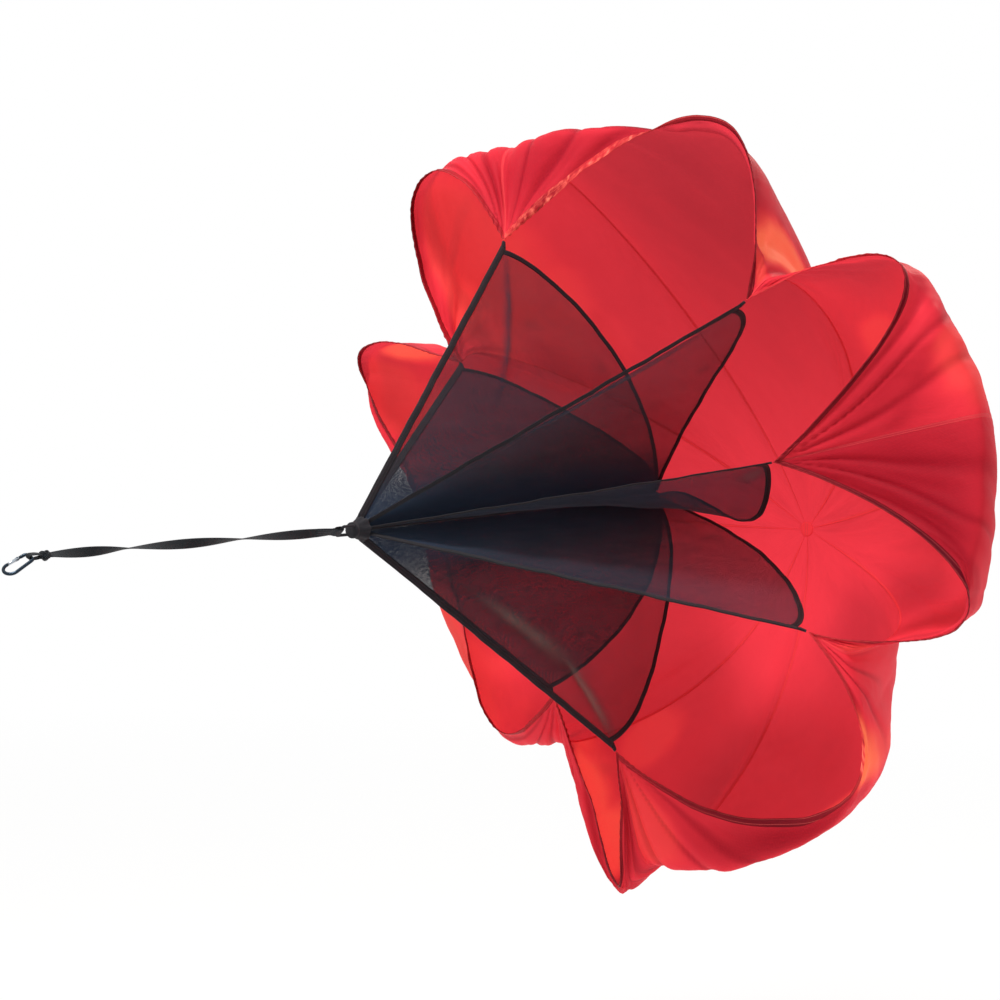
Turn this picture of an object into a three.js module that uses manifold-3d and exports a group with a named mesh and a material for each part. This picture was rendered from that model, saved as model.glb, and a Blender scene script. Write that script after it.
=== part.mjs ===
// Running-resistance parachute, the kind that a runner tows for sprint training.
// Millimetres, +X from the runner towards the canopy, +Z up. The origin is the seat in
// the snap hook's far bow, where the ring of the runner's belt pulls.
// The canopy has eight gores. Eight see-through net fins meet on the pull axis and hold
// the eight corners of its hem back, so the fabric between the corners swells into lobes.
// Inside this file most pieces are laid out from the apex, the point where the fins gather.
import * as THREE from 'three';
import { mergeVertices } from 'three/addons/utils/BufferGeometryUtils.js';
import Module from 'manifold-3d';

const wasm = await Module();
wasm.setup();

// Play between pieces that touch
const CLEAR = 0.3;

// Nets: the sewn length from the apex to a hem corner, and down the middle
const NET_EDGE = 810;
const NET_MIDDLE = 815;
const NET_THICK = 1.0;
const BINDING_WIDTH = 12;
const BINDING_THICK = 2.4;
const REAR_BINDING_WIDTH = 10;
const SPINE_RADIUS = 3.6;
const REAR_TACK_RADIUS = 8.4;
const REAR_TACK_LENGTH = 12;

// Apex: the bound edges are gathered at this radius and sewn into a collar
const APEX_FAN = 12;
const COLLAR_FRONT = -13;
const COLLAR_BACK = 16;
const COLLAR_NOSE_RADIUS = 14;
const COLLAR_TAIL_RADIUS = 21;

// Corner tabs join a fin's tip to the hem
const TAB_LENGTH = 15;
const TAB_WIDTH = 11;
const TAB_THICK = 4;

// Canopy fabric, its folded hem, and the felled seams between the gores
const FABRIC = 1.6;
const HEM_THICK = 3.2;
const HEM_WIDTH = 14;
const SEAM_RADIUS = 2.2;
const SEAM_ALLOWANCE = 2.8;
const CROWN_BACK = 1180;
const CROWN_ASIDE = -90;
const CROWN_DROP = -85;
const CROWN_SPREAD = 360;
const CROWN_OPENING = 15;
const CROWN_PATCH_THICK = 3;
const BOWL_DEPTH = 120;
// In flight the canopy rides this many degrees above the tether's line
const CHUTE_RISE = 1.3;

// Hem corners. turn is the angle about the pull axis from the near side, downwards, in
// degrees. reach is the distance from that axis. slack shortens the fin's full edge. rim is
// how far out the seam swells behind the corner, and rimBack how far behind the apex that is.
// swell and billow shape the fin: its rear edge past the middle, and its belly sideways.
const CORNERS = [
  { turn: -113, reach: 506, slack: 14, rim: 692, rimBack: 745, swell: 130, billow: 12 },
  { turn: -50, reach: 473, slack: 0, rim: 526, rimBack: 687, swell: -85, billow: -10 },
  { turn: -14, reach: 349, slack: 34, rim: 733, rimBack: 752, swell: 15, billow: 85 },
  { turn: 24, reach: 482, slack: 0, rim: 561, rimBack: 679, swell: 75, billow: -12 },
  { turn: 86, reach: 451, slack: 16, rim: 669, rimBack: 752, swell: 130, billow: 14 },
  { turn: 112, reach: 401, slack: 5, rim: 518, rimBack: 841, swell: 150, billow: -10 },
  { turn: 177, reach: 454, slack: 10, rim: 492, rimBack: 760, swell: 130, billow: 10 },
  { turn: 214, reach: 427, slack: 10, rim: 455, rimBack: 758, swell: 195, billow: -12 },
];

// Lobes between one corner and the next. Each end of the hem leaves its corner along a
// handle: out from the axis, back, and aside. rise is how far the fabric runs straight back
// behind the hem, and puff how far it swells past the hem there.
const LOBES = [
  { start: [105, 105, -35], end: [600, 10, 45], rise: 15, puff: -16 },
  { start: [410, 70, -55], end: [465, -25, -35], rise: 51, puff: 0 },
  { start: [420, -10, -20], end: [480, 50, -15], rise: 24, puff: 0 },
  { start: [440, 7, 75], end: [290, 127, -40], rise: 20, puff: 26 },
  { start: [455, 30, 75], end: [300, 110, -110], rise: 18, puff: 26 },
  { start: [442, 102, 90], end: [32, 170, -40], rise: 111, puff: 76 },
  { start: [125, 147, -60], end: [495, -65, 10], rise: 28, puff: 4 },
  { start: [420, 30, 15], end: [300, -5, 30], rise: 70, puff: 10 },
];

// Tether: flat webbing, sewn to a loop at each end and twisted between
const WEB_WIDTH = 15;
const WEB_THICK = 1.6;
const APEX_CORD = 5;
const APEX_CORD_BEND = 3;
const APEX_LOOP_REACH = 25;
const EYE_LENGTH = 16;
const SEWN_LENGTH = 34;
const SWING_POINT = -187;
const KNOT_BACK = -644;
const KNOT_LENGTH = 23;
const KNOT_WIDTH = 17;
const KNOT_THICK = 13;
const FRONT_LOOP_LENGTH = 17;
const FRONT_LOOP_WIDTH = 9;
// The webbing's width turns from a slant at the eye, through these quarter places, to the knot
const EYE_ROLL = -45;
const TWIST = [[-58, -45], [-259, -188], [-496, -368], [-578, -458], [-644, -520]];
const SWING_GAP = 0.8;

// Snap hook, laid out from the middle of its narrow bow
const WIRE = 5;
const HOOK_LENGTH = 45;
const NARROW_HALF = 9.3;
const NARROW_BEND = 4.5;
const WIDE_RADIUS = 11.5;
const HOOK_DROOP = 30;
const HOOK_ROLL = 20;
const PIN_PLACE = 14.5;
const PIN_RADIUS = 0.8;
const PIN_HEAD_RADIUS = 1.4;
const PIN_HEAD_THICK = 0.6;
const TONGUE_THICK = 2;
const TONGUE_RADIUS = 2.2;
const GATE_RADIUS = 2.4;
const NOSE_PLACE = 31;
const NOSE_GAP = 0.6;
const SPRING_RADIUS = 0.75;
const SPRING_WIRE = 0.15;
const SPRING_LENGTH = 8;
const SPRING_TURNS = 9;
const SPRING_BORE = 1.15;

const X_AXIS = new THREE.Vector3(1, 0, 0);
const material = (color, roughness, metalness = 0) =>
  new THREE.MeshStandardMaterial({ color, roughness, metalness, side: THREE.DoubleSide });
const nylon = (lift) => material(new THREE.Color(0.78 + lift, 0.1 + lift, 0.12), 0.55);
const net = () => material(0x1b2238, 0.8);
const tape = () => material(0x17151b, 0.75);
const steel = () => material(0x9aa0a8, 0.25, 1);

const chute = new THREE.Group();
const part = new THREE.Group();
part.name = 'running_parachute';
part.add(chute);
chute.rotation.y = -THREE.MathUtils.degToRad(CHUTE_RISE);

function addMesh(parent, name, geometry, finish) {
  const mesh = new THREE.Mesh(geometry, finish);
  mesh.name = name;
  parent.add(mesh);
  return mesh;
}

// Closed geometry from points and triangles, turned so that its faces point out
function closedGeometry(points, triangles) {
  let volume = 0;
  for (const [a, b, c] of triangles) {
    volume += points[a].dot(points[b].clone().cross(points[c]));
  }
  const faces = volume < 0 ? triangles.map(([a, b, c]) => [a, c, b]) : triangles;
  const geometry = new THREE.BufferGeometry();
  geometry.setFromPoints(points);
  geometry.setIndex(faces.flat());
  geometry.computeVertexNormals();
  return geometry;
}

// A sheet of fabric with thickness, from rows of middle points
function thickSheet(rows, halfThickness) {
  const count = rows.length;
  const width = rows[0].length;
  const points = [];
  const normalAt = (i, j) => {
    const along = rows[Math.min(i + 1, count - 1)][j].clone().sub(rows[Math.max(i - 1, 0)][j]);
    const across = rows[i][Math.min(j + 1, width - 1)].clone().sub(rows[i][Math.max(j - 1, 0)]);
    return along.cross(across).normalize();
  };
  for (const side of [1, -1]) {
    rows.forEach((row, i) => row.forEach((point, j) => {
      points.push(point.clone().addScaledVector(normalAt(i, j), side * halfThickness(i, j)));
    }));
  }
  const at = (side, i, j) => side * count * width + i * width + j;
  const triangles = [];
  const quad = (a, b, c, d) => triangles.push([a, b, c], [a, c, d]);
  for (let i = 0; i < count - 1; i += 1) {
    for (let j = 0; j < width - 1; j += 1) {
      quad(at(0, i, j), at(0, i, j + 1), at(0, i + 1, j + 1), at(0, i + 1, j));
      quad(at(1, i, j), at(1, i + 1, j), at(1, i + 1, j + 1), at(1, i, j + 1));
    }
    quad(at(0, i, 0), at(0, i + 1, 0), at(1, i + 1, 0), at(1, i, 0));
    const j = width - 1;
    quad(at(0, i + 1, j), at(0, i, j), at(1, i, j), at(1, i + 1, j));
  }
  for (let j = 0; j < width - 1; j += 1) {
    quad(at(0, 0, j + 1), at(0, 0, j), at(1, 0, j), at(1, 0, j + 1));
    const i = count - 1;
    quad(at(0, i, j), at(0, i, j + 1), at(1, i, j + 1), at(1, i, j));
  }
  return closedGeometry(points, triangles);
}

// A solid through closed rings of equal point counts, with flat ends
function loft(rings) {
  const sides = rings[0].length;
  const points = rings.flat();
  const triangles = [];
  for (let i = 0; i < rings.length - 1; i += 1) {
    for (let j = 0; j < sides; j += 1) {
      const a = i * sides + j;
      const b = i * sides + (j + 1) % sides;
      triangles.push([a, b, b + sides], [a, b + sides, a + sides]);
    }
  }
  const last = (rings.length - 1) * sides;
  for (let j = 1; j < sides - 1; j += 1) {
    triangles.push([0, j + 1, j], [last, last + j, last + j + 1]);
  }
  return closedGeometry(points, triangles);
}

// Rings of a round section about a path, square to it
function roundRings(path, radius, sides) {
  let side = null;
  return path.map((point, i) => {
    const before = path[Math.max(i - 1, 0)];
    const after = path[Math.min(i + 1, path.length - 1)];
    const along = after.clone().sub(before).normalize();
    if (!side) {
      const guide = Math.abs(along.x) < 0.9 ? X_AXIS : new THREE.Vector3(0, 0, 1);
      side = guide.clone();
    }
    side.addScaledVector(along, -side.dot(along)).normalize();
    const up = along.clone().cross(side);
    return Array.from({ length: sides }, (_, k) => {
      const angle = 2 * Math.PI * k / sides;
      return point.clone()
        .addScaledVector(side, radius * Math.cos(angle))
        .addScaledVector(up, radius * Math.sin(angle));
    });
  });
}

// A rounded flat section about a point, as wide and thick as stated
function webRing(point, widthWay, thickWay, width, thick) {
  const corners = [[-1, -0.5], [-0.9, -1], [0.9, -1], [1, -0.5], [1, 0.5], [0.9, 1], [-0.9, 1], [-1, 0.5]];
  return corners.map(([w, t]) => point.clone()
    .addScaledVector(widthWay, w * width / 2)
    .addScaledVector(thickWay, t * thick / 2));
}

function solidOf(geometry) {
  const bare = geometry.clone();
  bare.deleteAttribute('normal');
  bare.deleteAttribute('uv');
  const merged = mergeVertices(bare, 1e-4);
  return new wasm.Manifold(new wasm.Mesh({
    numProp: 3,
    vertProperties: new Float32Array(merged.attributes.position.array),
    triVerts: new Uint32Array(merged.index.array),
  }));
}
function geometryOf(solid) {
  const mesh = solid.getMesh();
  const geometry = new THREE.BufferGeometry();
  geometry.setAttribute('position', new THREE.BufferAttribute(mesh.vertProperties, 3));
  geometry.setIndex(new THREE.BufferAttribute(mesh.triVerts, 1));
  return geometry;
}

// Webbing folded along a path of [x, offset] places, with its width across the fold
function foldedWeb(path, widthWay, offsetWay, width) {
  const centres = path.map(([x, t]) => new THREE.Vector3(x, 0, 0).addScaledVector(offsetWay, t));
  return loft(centres.map((centre, i) => {
    const before = centres[Math.max(i - 1, 0)];
    const after = centres[Math.min(i + 1, centres.length - 1)];
    const along = after.clone().sub(before).normalize();
    return webRing(centre, widthWay, along.clone().cross(widthWay), width, WEB_THICK);
  }));
}

const blendPoints = (a, b, c, d, t) => {
  const s = 1 - t;
  return a.clone().multiplyScalar(s * s * s)
    .addScaledVector(b, 3 * s * s * t)
    .addScaledVector(c, 3 * s * t * t)
    .addScaledVector(d, t * t * t);
};
const outward = (turn) => {
  const angle = THREE.MathUtils.degToRad(turn);
  return new THREE.Vector3(0, -Math.cos(angle), -Math.sin(angle));
};
// Direction across the pull axis at a roll from +Y towards +Z
const rolled = (roll) => {
  const angle = THREE.MathUtils.degToRad(roll);
  return new THREE.Vector3(0, Math.cos(angle), Math.sin(angle));
};
const corners = CORNERS.map((corner) => {
  const edge = NET_EDGE - corner.slack;
  const back = Math.sqrt(edge ** 2 - corner.reach ** 2);
  const out = outward(corner.turn);
  return { ...corner, out, back, tip: out.clone().multiplyScalar(corner.reach).setX(back) };
});
const crown = new THREE.Vector3(CROWN_BACK, CROWN_ASIDE, CROWN_DROP);

// Canopy: one gore's surface, u across from seam to seam, t from the hem to the rim and on to
// the crown: 0 to 1 is the swelling behind the hem, and 1 to 2 the bowl
function goreSurface(index) {
  const first = corners[index];
  const last = corners[(index + 1) % corners.length];
  const lobe = LOBES[index];
  const middle = first.tip.clone().add(last.tip).setX(0).normalize();
  const aside = X_AXIS.clone().cross(middle);
  if (aside.dot(last.tip.clone().sub(first.tip)) < 0) aside.negate();
  const handle = (tip, [out, back, spread], way) => tip.clone()
    .addScaledVector(middle, out).addScaledVector(X_AXIS, back).addScaledVector(aside, way * spread);
  const startHandle = handle(first.tip, lobe.start, -1);
  const endHandle = handle(last.tip, lobe.end, 1);
  const hem = (u) => blendPoints(first.tip, startHandle, endHandle, last.tip, u);
  const reachOf = (point) => Math.hypot(point.y, point.z);
  const fullReach = reachOf(hem(0.5));
  const rimOf = (u, edge) => {
    const swell = Math.sin(Math.PI * u);
    const end = u < 0.5 ? first : last;
    const reach = Math.max(end.rim + (fullReach - end.rim) * swell, reachOf(edge) - 12);
    const back = end.rimBack + (edge.x + lobe.rise - end.rimBack) * swell;
    return edge.clone().setX(0).setLength(reach + lobe.puff * swell).setX(back);
  };
  return (u, t) => {
    const edge = hem(u);
    const rim = rimOf(u, edge);
    if (t <= 1) {
      const gap = rim.distanceTo(edge);
      const lead = Math.min(gap / 2, (rim.x - edge.x) / 2 + 20);
      const leave = edge.clone().lerp(rim, 0.4);
      return blendPoints(edge, leave, rim.clone().addScaledVector(X_AXIS, -lead), rim, t);
    }
    const way = edge.clone().setX(0).normalize();
    const deep = rim.clone().addScaledVector(X_AXIS, BOWL_DEPTH);
    const shoulder = crown.clone().addScaledVector(way, CROWN_SPREAD);
    return blendPoints(rim, deep, shoulder, crown, t - 1);
  };
}

// Rows of a gore or seam from hem to crown: two at the folded hem, then even steps
const LAST_ROW = 2 - CROWN_OPENING / (3 * CROWN_SPREAD);
function rowPlaces(surface, u) {
  const length = surface(u, 0).distanceTo(surface(u, 1)) * 1.2;
  const fold = Math.min(HEM_WIDTH / length, 0.3);
  const places = [0, fold, fold + 2 / length];
  for (const t of [0.2, 0.38, 0.57, 0.78, 1, 1.1, 1.22, 1.35, 1.5, 1.65, 1.8, 1.91]) places.push(t);
  places.push(LAST_ROW);
  return places;
}
const surfaces = corners.map((_, index) => goreSurface(index));
const STEP = 0.002;
const seamAlong = (surface, u, t) => surface(u, t + STEP).sub(surface(u, t)).normalize();
// Way into a gore from its seam, square to the seam, as long as one whole turn of u would be
function seamAcross(surface, u, t) {
  const step = u < 0.5 ? STEP : -STEP;
  const along = seamAlong(surface, u, t);
  const across = surface(u + step, t).sub(surface(u, t)).divideScalar(STEP);
  return across.addScaledVector(along, -across.dot(along));
}
// The seam narrows near the crown, where all eight meet
const seamScale = (t) => 1 - 0.35 * THREE.MathUtils.clamp((t - 1.6) / 0.4, 0, 1);
// How much of a gore's width its sewn edge leaves free: more where two gores meet in a fold
function seamInset(index, u, t) {
  const count = surfaces.length;
  const neighbour = surfaces[(index + (u < 0.5 ? count - 1 : 1)) % count];
  const across = seamAcross(surfaces[index], u, t);
  const beside = seamAcross(neighbour, 1 - u, t);
  const fold = across.angleTo(beside) / 2;
  const half = (t < 0.3 ? HEM_THICK : FABRIC) / 2 + CLEAR / 2;
  const folded = Math.min(half / Math.tan(fold), SEAM_ALLOWANCE * 4);
  const wanted = Math.max(SEAM_ALLOWANCE * (1 + seamScale(t)) / 2, folded);
  // The seam is curved, so the nearest point on it sets the real distance
  const side = u < 0.5 ? 1 : -1;
  let inset = wanted / across.length();
  for (let round = 0; round < 4; round += 1) {
    const point = surfaces[index](u + side * inset, t);
    let nearest = Infinity;
    let before = surfaces[index](u, Math.max(t - 0.2, 0));
    for (let offset = -0.19; offset <= 0.2; offset += 0.01) {
      const after = surfaces[index](u, THREE.MathUtils.clamp(t + offset, 0.001, 2));
      const foot = new THREE.Line3(before, after).closestPointToPoint(point, true, new THREE.Vector3());
      nearest = Math.min(nearest, point.distanceTo(foot));
      before = after;
    }
    inset *= wanted / nearest;
  }
  return inset;
}
const GORE_COLUMNS = 12;
corners.forEach((corner, index) => {
  const surface = surfaces[index];
  const columns = Array.from({ length: GORE_COLUMNS + 1 }, (_, j) => j / GORE_COLUMNS);
  const places = columns.map((u) => rowPlaces(surface, u));
  const rows = places[0].map((_, i) => columns.map((share, j) => {
    const t = places[j][i];
    const low = seamInset(index, 0, t);
    const high = seamInset(index, 1, t);
    return surface(low + share * (1 - low - high), t);
  }));
  const hemRows = 2;
  const geometry = thickSheet(rows, (i) => (i < hemRows ? HEM_THICK : FABRIC) / 2);
  addMesh(chute, `canopy_gore_${index + 1}`, geometry, nylon(0.02 * (index % 3)));

  const seamPlaces = rowPlaces(surface, 0);
  const seamRings = roundRings(seamPlaces.map((t) => surface(0, t)), SEAM_RADIUS, 8);
  seamRings.forEach((ring, i) => {
    const centre = surface(0, seamPlaces[i]);
    ring.forEach((point) => point.sub(centre).multiplyScalar(seamScale(seamPlaces[i])).add(centre));
  });
  addMesh(chute, `canopy_seam_${index + 1}`, loft(seamRings), nylon(-0.12));
});

// Crown: a small round patch that closes the eight points
{
  const patchRadius = CROWN_OPENING - CLEAR;
  const profile = [[0, -1], [0.8, -1], [1, -0.4], [1, 0.4], [0.8, 1], [0, 1]]
    .map(([r, h]) => new THREE.Vector2(r * patchRadius, h * CROWN_PATCH_THICK / 2));
  const patch = new THREE.LatheGeometry(profile, 16);
  patch.rotateZ(-Math.PI / 2);
  addMesh(chute, 'crown_patch', geometryOf(solidOf(patch)), nylon(-0.16)).position.copy(crown);
}

// One net fin: a flat triangle with a curved rear edge, between the middle and a hem corner
function finSurface(corner) {
  const apexEdge = corner.out.clone().multiplyScalar(APEX_FAN);
  const along = corner.tip.clone().sub(apexEdge).normalize();
  const inward = X_AXIS.clone().cross(corner.out).cross(along);
  if (inward.dot(corner.out) > 0) inward.negate();
  const normal = X_AXIS.clone().cross(corner.out);
  const edgeLength = corner.tip.distanceTo(apexEdge) - TAB_LENGTH;
  const edgeStart = COLLAR_BACK / along.x + 2;
  const edgePoint = (distance, inset) => apexEdge.clone()
    .addScaledVector(along, distance).addScaledVector(inward, inset);
  const netEdge = BINDING_WIDTH + CLEAR;
  const tip = edgePoint(edgeLength, netEdge);
  const middleFront = corner.out.clone().multiplyScalar(SPINE_RADIUS + CLEAR).setX(COLLAR_BACK + 1);
  const middleRear = corner.out.clone().multiplyScalar(SPINE_RADIUS + CLEAR).setX(NET_MIDDLE);
  const rearOf = (place) => blendPoints(
    tip,
    tip.clone().addScaledVector(X_AXIS, 144).addScaledVector(corner.out, -32),
    corner.out.clone().multiplyScalar(127).setX(NET_MIDDLE + corner.swell),
    middleRear,
    place,
  );
  const frontOuter = edgePoint(edgeStart + 6, netEdge);
  const surface = (s, r) => {
    const front = middleFront.clone().lerp(frontOuter, r);
    const belly = Math.sin(Math.PI * THREE.MathUtils.clamp((r - 0.06) / 0.88, 0, 1)) ** 2;
    return front.lerp(rearOf(1 - r), s)
      .addScaledVector(normal, corner.billow * belly * Math.max(s, 0) ** 3);
  };
  // The share of a net line that ends a distance short of the rear edge, square to that edge
  const rearInset = (r, distance) => {
    const line = surface(1, r).sub(surface(0, r));
    const near = Math.min(r, 1 - STEP);
    const edge = surface(1, near + STEP).sub(surface(1, near)).normalize();
    return 1 - distance / edge.cross(line).length();
  };
  return { surface, rearInset, edgePoint, edgeStart, edgeLength, along, inward, normal };
}

// The rear bindings stop short of the middle, where a sewn tack takes them all
const TACK_SHARE = (REAR_TACK_RADIUS + 3 * CLEAR - SPINE_RADIUS) / 254;
const NET_COLUMNS = [0, TACK_SHARE, 0.06, 0.14, 0.23, 0.33, 0.43, 0.53, 0.63, 0.73, 0.82, 0.9, 0.96, 1];
corners.forEach((corner, index) => {
  const fin = finSurface(corner);
  const number = index + 1;
  const steps = [0, 0.4, 0.66, 0.85, 1];
  const netRows = steps.map((share) => NET_COLUMNS.map((r) => (
    fin.surface(share * fin.rearInset(r, REAR_BINDING_WIDTH + CLEAR), r))));
  const netSheet = thickSheet(netRows, () => NET_THICK / 2);
  addMesh(chute, `net_fin_${number}`, netSheet, net());

  const distances = [0, 0.25, 0.5, 0.75, 1]
    .map((share) => fin.edgeStart + share * (fin.edgeLength - fin.edgeStart));
  const edgeRows = distances.map((d) => [fin.edgePoint(d, 0), fin.edgePoint(d, BINDING_WIDTH)]);
  const edgeSheet = thickSheet(edgeRows, () => BINDING_THICK / 2);
  addMesh(chute, `net_edge_binding_${number}`, edgeSheet, tape());

  const rearRows = [REAR_BINDING_WIDTH, 0].map((inset) => NET_COLUMNS.slice(1).map((r) => (
    fin.surface(fin.rearInset(r, inset), r))));
  const rearSheet = thickSheet(rearRows, () => BINDING_THICK / 2);
  addMesh(chute, `net_rear_binding_${number}`, rearSheet, tape());

  // Corner tab, between the bound tip and the hem's corner
  const tabFront = fin.edgeLength + CLEAR;
  const tabBack = fin.edgeLength + TAB_LENGTH - SEAM_RADIUS - CLEAR;
  const tabRing = (distance, width) => webRing(
    fin.edgePoint(distance, BINDING_WIDTH / 2 - (distance - tabFront) * 0.4),
    fin.inward, fin.normal, width, TAB_THICK);
  const tab = loft([tabRing(tabFront, TAB_WIDTH), tabRing(tabBack, TAB_WIDTH * 0.6)]);
  addMesh(chute, `corner_tab_${number}`, tab, tape());
});

// Spine: the rolled seam on the pull axis that joins the eight fins, with its rear tack
{
  const front = COLLAR_BACK + CLEAR;
  const tackBack = NET_MIDDLE;
  const tackFront = tackBack - REAR_TACK_LENGTH;
  const netEnd = NET_MIDDLE - REAR_BINDING_WIDTH - 2 * CLEAR;
  const profile = [
    [0, front], [SPINE_RADIUS, front], [SPINE_RADIUS, netEnd],
    [SPINE_RADIUS, tackFront + 1], [SPINE_RADIUS, tackBack + 1],
    [REAR_TACK_RADIUS - 2, tackBack + 2], [REAR_TACK_RADIUS - 3, tackBack + 5], [0, tackBack + 6],
  ].map(([r, x]) => new THREE.Vector2(r, x));
  const spine = new THREE.LatheGeometry(profile, 10);
  spine.rotateZ(-Math.PI / 2);
  addMesh(chute, 'net_spine_seam', geometryOf(solidOf(spine)), tape());
}

// Collar: the gathered and oversewn ends of the bindings
{
  const profile = [
    [0, COLLAR_FRONT], [COLLAR_NOSE_RADIUS * 0.8, COLLAR_FRONT], [COLLAR_NOSE_RADIUS, COLLAR_FRONT + 3],
    [COLLAR_NOSE_RADIUS, -2], [COLLAR_TAIL_RADIUS * 0.9, COLLAR_BACK * 0.6],
    [COLLAR_TAIL_RADIUS, COLLAR_BACK], [0, COLLAR_BACK],
  ].map(([r, x]) => new THREE.Vector2(r, x));
  const collar = new THREE.LatheGeometry(profile, 16);
  collar.rotateZ(-Math.PI / 2);
  addMesh(chute, 'apex_collar', geometryOf(solidOf(collar)), tape());
}

// Apex loop: a round cord loop that stands out of the collar's nose
const eyeWidthWay = rolled(EYE_ROLL);
const eyeThickWay = rolled(EYE_ROLL + 90);
const linkPlace = new THREE.Vector3(COLLAR_FRONT - APEX_LOOP_REACH, 0, 0);
{
  const half = WEB_WIDTH / 2 + CLEAR + APEX_CORD_BEND;
  // The collar's front face leans with the canopy, and the loop keeps clear of its low side
  const lean = (half + APEX_CORD / 2) * Math.sin(THREE.MathUtils.degToRad(CHUTE_RISE));
  const foot = COLLAR_FRONT - CLEAR - lean;
  const place = (x, w) => new THREE.Vector3(x, 0, 0).addScaledVector(eyeWidthWay, w);
  const path = [place(foot, -half), place((foot + linkPlace.x) / 2, -half)];
  const bends = [[-1, 180], [1, 90]];
  for (const [side, from] of bends) {
    for (let k = 0; k <= 4; k += 1) {
      const angle = THREE.MathUtils.degToRad(from - 22.5 * k);
      const centre = place(linkPlace.x + APEX_CORD_BEND, side * (half - APEX_CORD_BEND));
      path.push(centre.addScaledVector(X_AXIS, -APEX_CORD_BEND * Math.sin(angle))
        .addScaledVector(eyeWidthWay, APEX_CORD_BEND * Math.cos(angle)));
    }
  }
  path.push(place((foot + linkPlace.x) / 2, half), place(foot, half));
  addMesh(part, 'apex_loop', loft(roundRings(path, APEX_CORD / 2, 10)), tape());
}

// Tether's rear eye: the webbing folded round the apex loop
const EYE_FRONT = linkPlace.x - EYE_LENGTH - 4;
{
  const wrap = APEX_CORD / 2 + CLEAR + WEB_THICK / 2;
  const ply = WEB_THICK / 2 + 0.2;
  const path = [[EYE_FRONT, ply], [EYE_FRONT + 4, ply + 0.2], [EYE_FRONT + 9, wrap * 0.85],
    [linkPlace.x - 4, wrap]];
  for (let k = 0; k <= 8; k += 1) {
    const angle = Math.PI * k / 8;
    path.push([linkPlace.x + wrap * Math.sin(angle), wrap * Math.cos(angle)]);
  }
  path.push([linkPlace.x - 4, -wrap], [EYE_FRONT + 9, -wrap * 0.85], [EYE_FRONT + 4, -ply - 0.2],
    [EYE_FRONT, -ply]);
  addMesh(part, 'tether_rear_eye', foldedWeb(path, eyeWidthWay, eyeThickWay, WEB_WIDTH), tape());
}

// Straps: the twisted webbing, in two lengths that meet at the place where it swings
function rollAt(x) {
  const last = TWIST.length - 1;
  let i = 0;
  while (i < last - 1 && x < TWIST[i + 1][0]) i += 1;
  const [x0, r0] = TWIST[i];
  const [x1, r1] = TWIST[i + 1];
  return r0 + (r1 - r0) * THREE.MathUtils.clamp((x - x0) / (x1 - x0), 0, 1);
}
function strap(from, to, thickAt) {
  const steps = Math.ceil(Math.abs(from - to) / 12);
  const rings = Array.from({ length: steps + 1 }, (_, i) => {
    const x = from + (to - from) * i / steps;
    const roll = rollAt(x);
    return webRing(new THREE.Vector3(x, 0, 0), rolled(roll), rolled(roll + 90), WEB_WIDTH, thickAt(x));
  });
  return loft(rings);
}
const strapStart = EYE_FRONT - CLEAR;
const plies = (x) => (x > strapStart - SEWN_LENGTH ? 2 * WEB_THICK + 0.4 : WEB_THICK);
addMesh(part, 'tether_rear_strap', strap(strapStart, SWING_POINT + SWING_GAP / 2, plies), tape());
addMesh(part, 'tether_front_strap',
  strap(SWING_POINT - SWING_GAP / 2, KNOT_BACK + CLEAR, () => WEB_THICK), tape());

// Knot and front loop: the webbing tied off, and its end that passes through the hook
const knotRoll = rollAt(KNOT_BACK);
const hookWidthWay = rolled(HOOK_ROLL);
const hookPlace = new THREE.Vector3(KNOT_BACK - KNOT_LENGTH - FRONT_LOOP_LENGTH, 0, 0);
{
  const stations = [[0, 0.55], [0.2, 0.9], [0.45, 1], [0.7, 0.95], [1, 0.6]];
  const knotRings = stations.map(([share, size]) => webRing(
    new THREE.Vector3(KNOT_BACK - share * KNOT_LENGTH, 0, 0),
    rolled(knotRoll + 180), rolled(knotRoll + 270), KNOT_WIDTH * size, KNOT_THICK * size));
  const wrap = WIRE / 2 + CLEAR + WEB_THICK / 2;
  const loopBack = KNOT_BACK - KNOT_LENGTH + 2;
  const thickWay = rolled(HOOK_ROLL + 90);
  const path = [[loopBack, wrap * 0.7], [(loopBack + hookPlace.x) / 2, wrap]];
  for (let k = 0; k <= 8; k += 1) {
    const angle = Math.PI * k / 8;
    path.push([hookPlace.x - wrap * Math.sin(angle), wrap * Math.cos(angle)]);
  }
  path.push([(loopBack + hookPlace.x) / 2, -wrap], [loopBack, -wrap * 0.7]);
  const loop = foldedWeb(path, hookWidthWay, thickWay, FRONT_LOOP_WIDTH);
  addMesh(part, 'tether_knotted_loop', geometryOf(solidOf(loft(knotRings)).add(solidOf(loop))), tape());
}

// Snap hook. Its own frame: x along the hook from the webbing, y across it towards the gate
const hook = new THREE.Group();
const hookLong = X_AXIS.clone().multiplyScalar(-Math.cos(THREE.MathUtils.degToRad(HOOK_DROOP)))
  .addScaledVector(rolled(HOOK_ROLL - 90), Math.sin(THREE.MathUtils.degToRad(HOOK_DROOP)));
hook.setRotationFromMatrix(new THREE.Matrix4()
  .makeBasis(hookLong, hookWidthWay, hookLong.clone().cross(hookWidthWay)));
hook.position.copy(hookPlace);
part.add(hook);

// A round bar along the hook's z, x or y, with its middle at a place
function bar(radius, length, way, [x, y, z], sides = 16) {
  const geometry = new THREE.CylinderGeometry(radius, radius, length, sides);
  if (way === 'z') geometry.rotateX(Math.PI / 2);
  if (way === 'x') geometry.rotateZ(Math.PI / 2);
  geometry.translate(x, y, z);
  return solidOf(geometry);
}
const block = (sx, sy, sz, [x, y, z]) => solidOf(new THREE.BoxGeometry(sx, sy, sz).translate(x, y, z));

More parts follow.
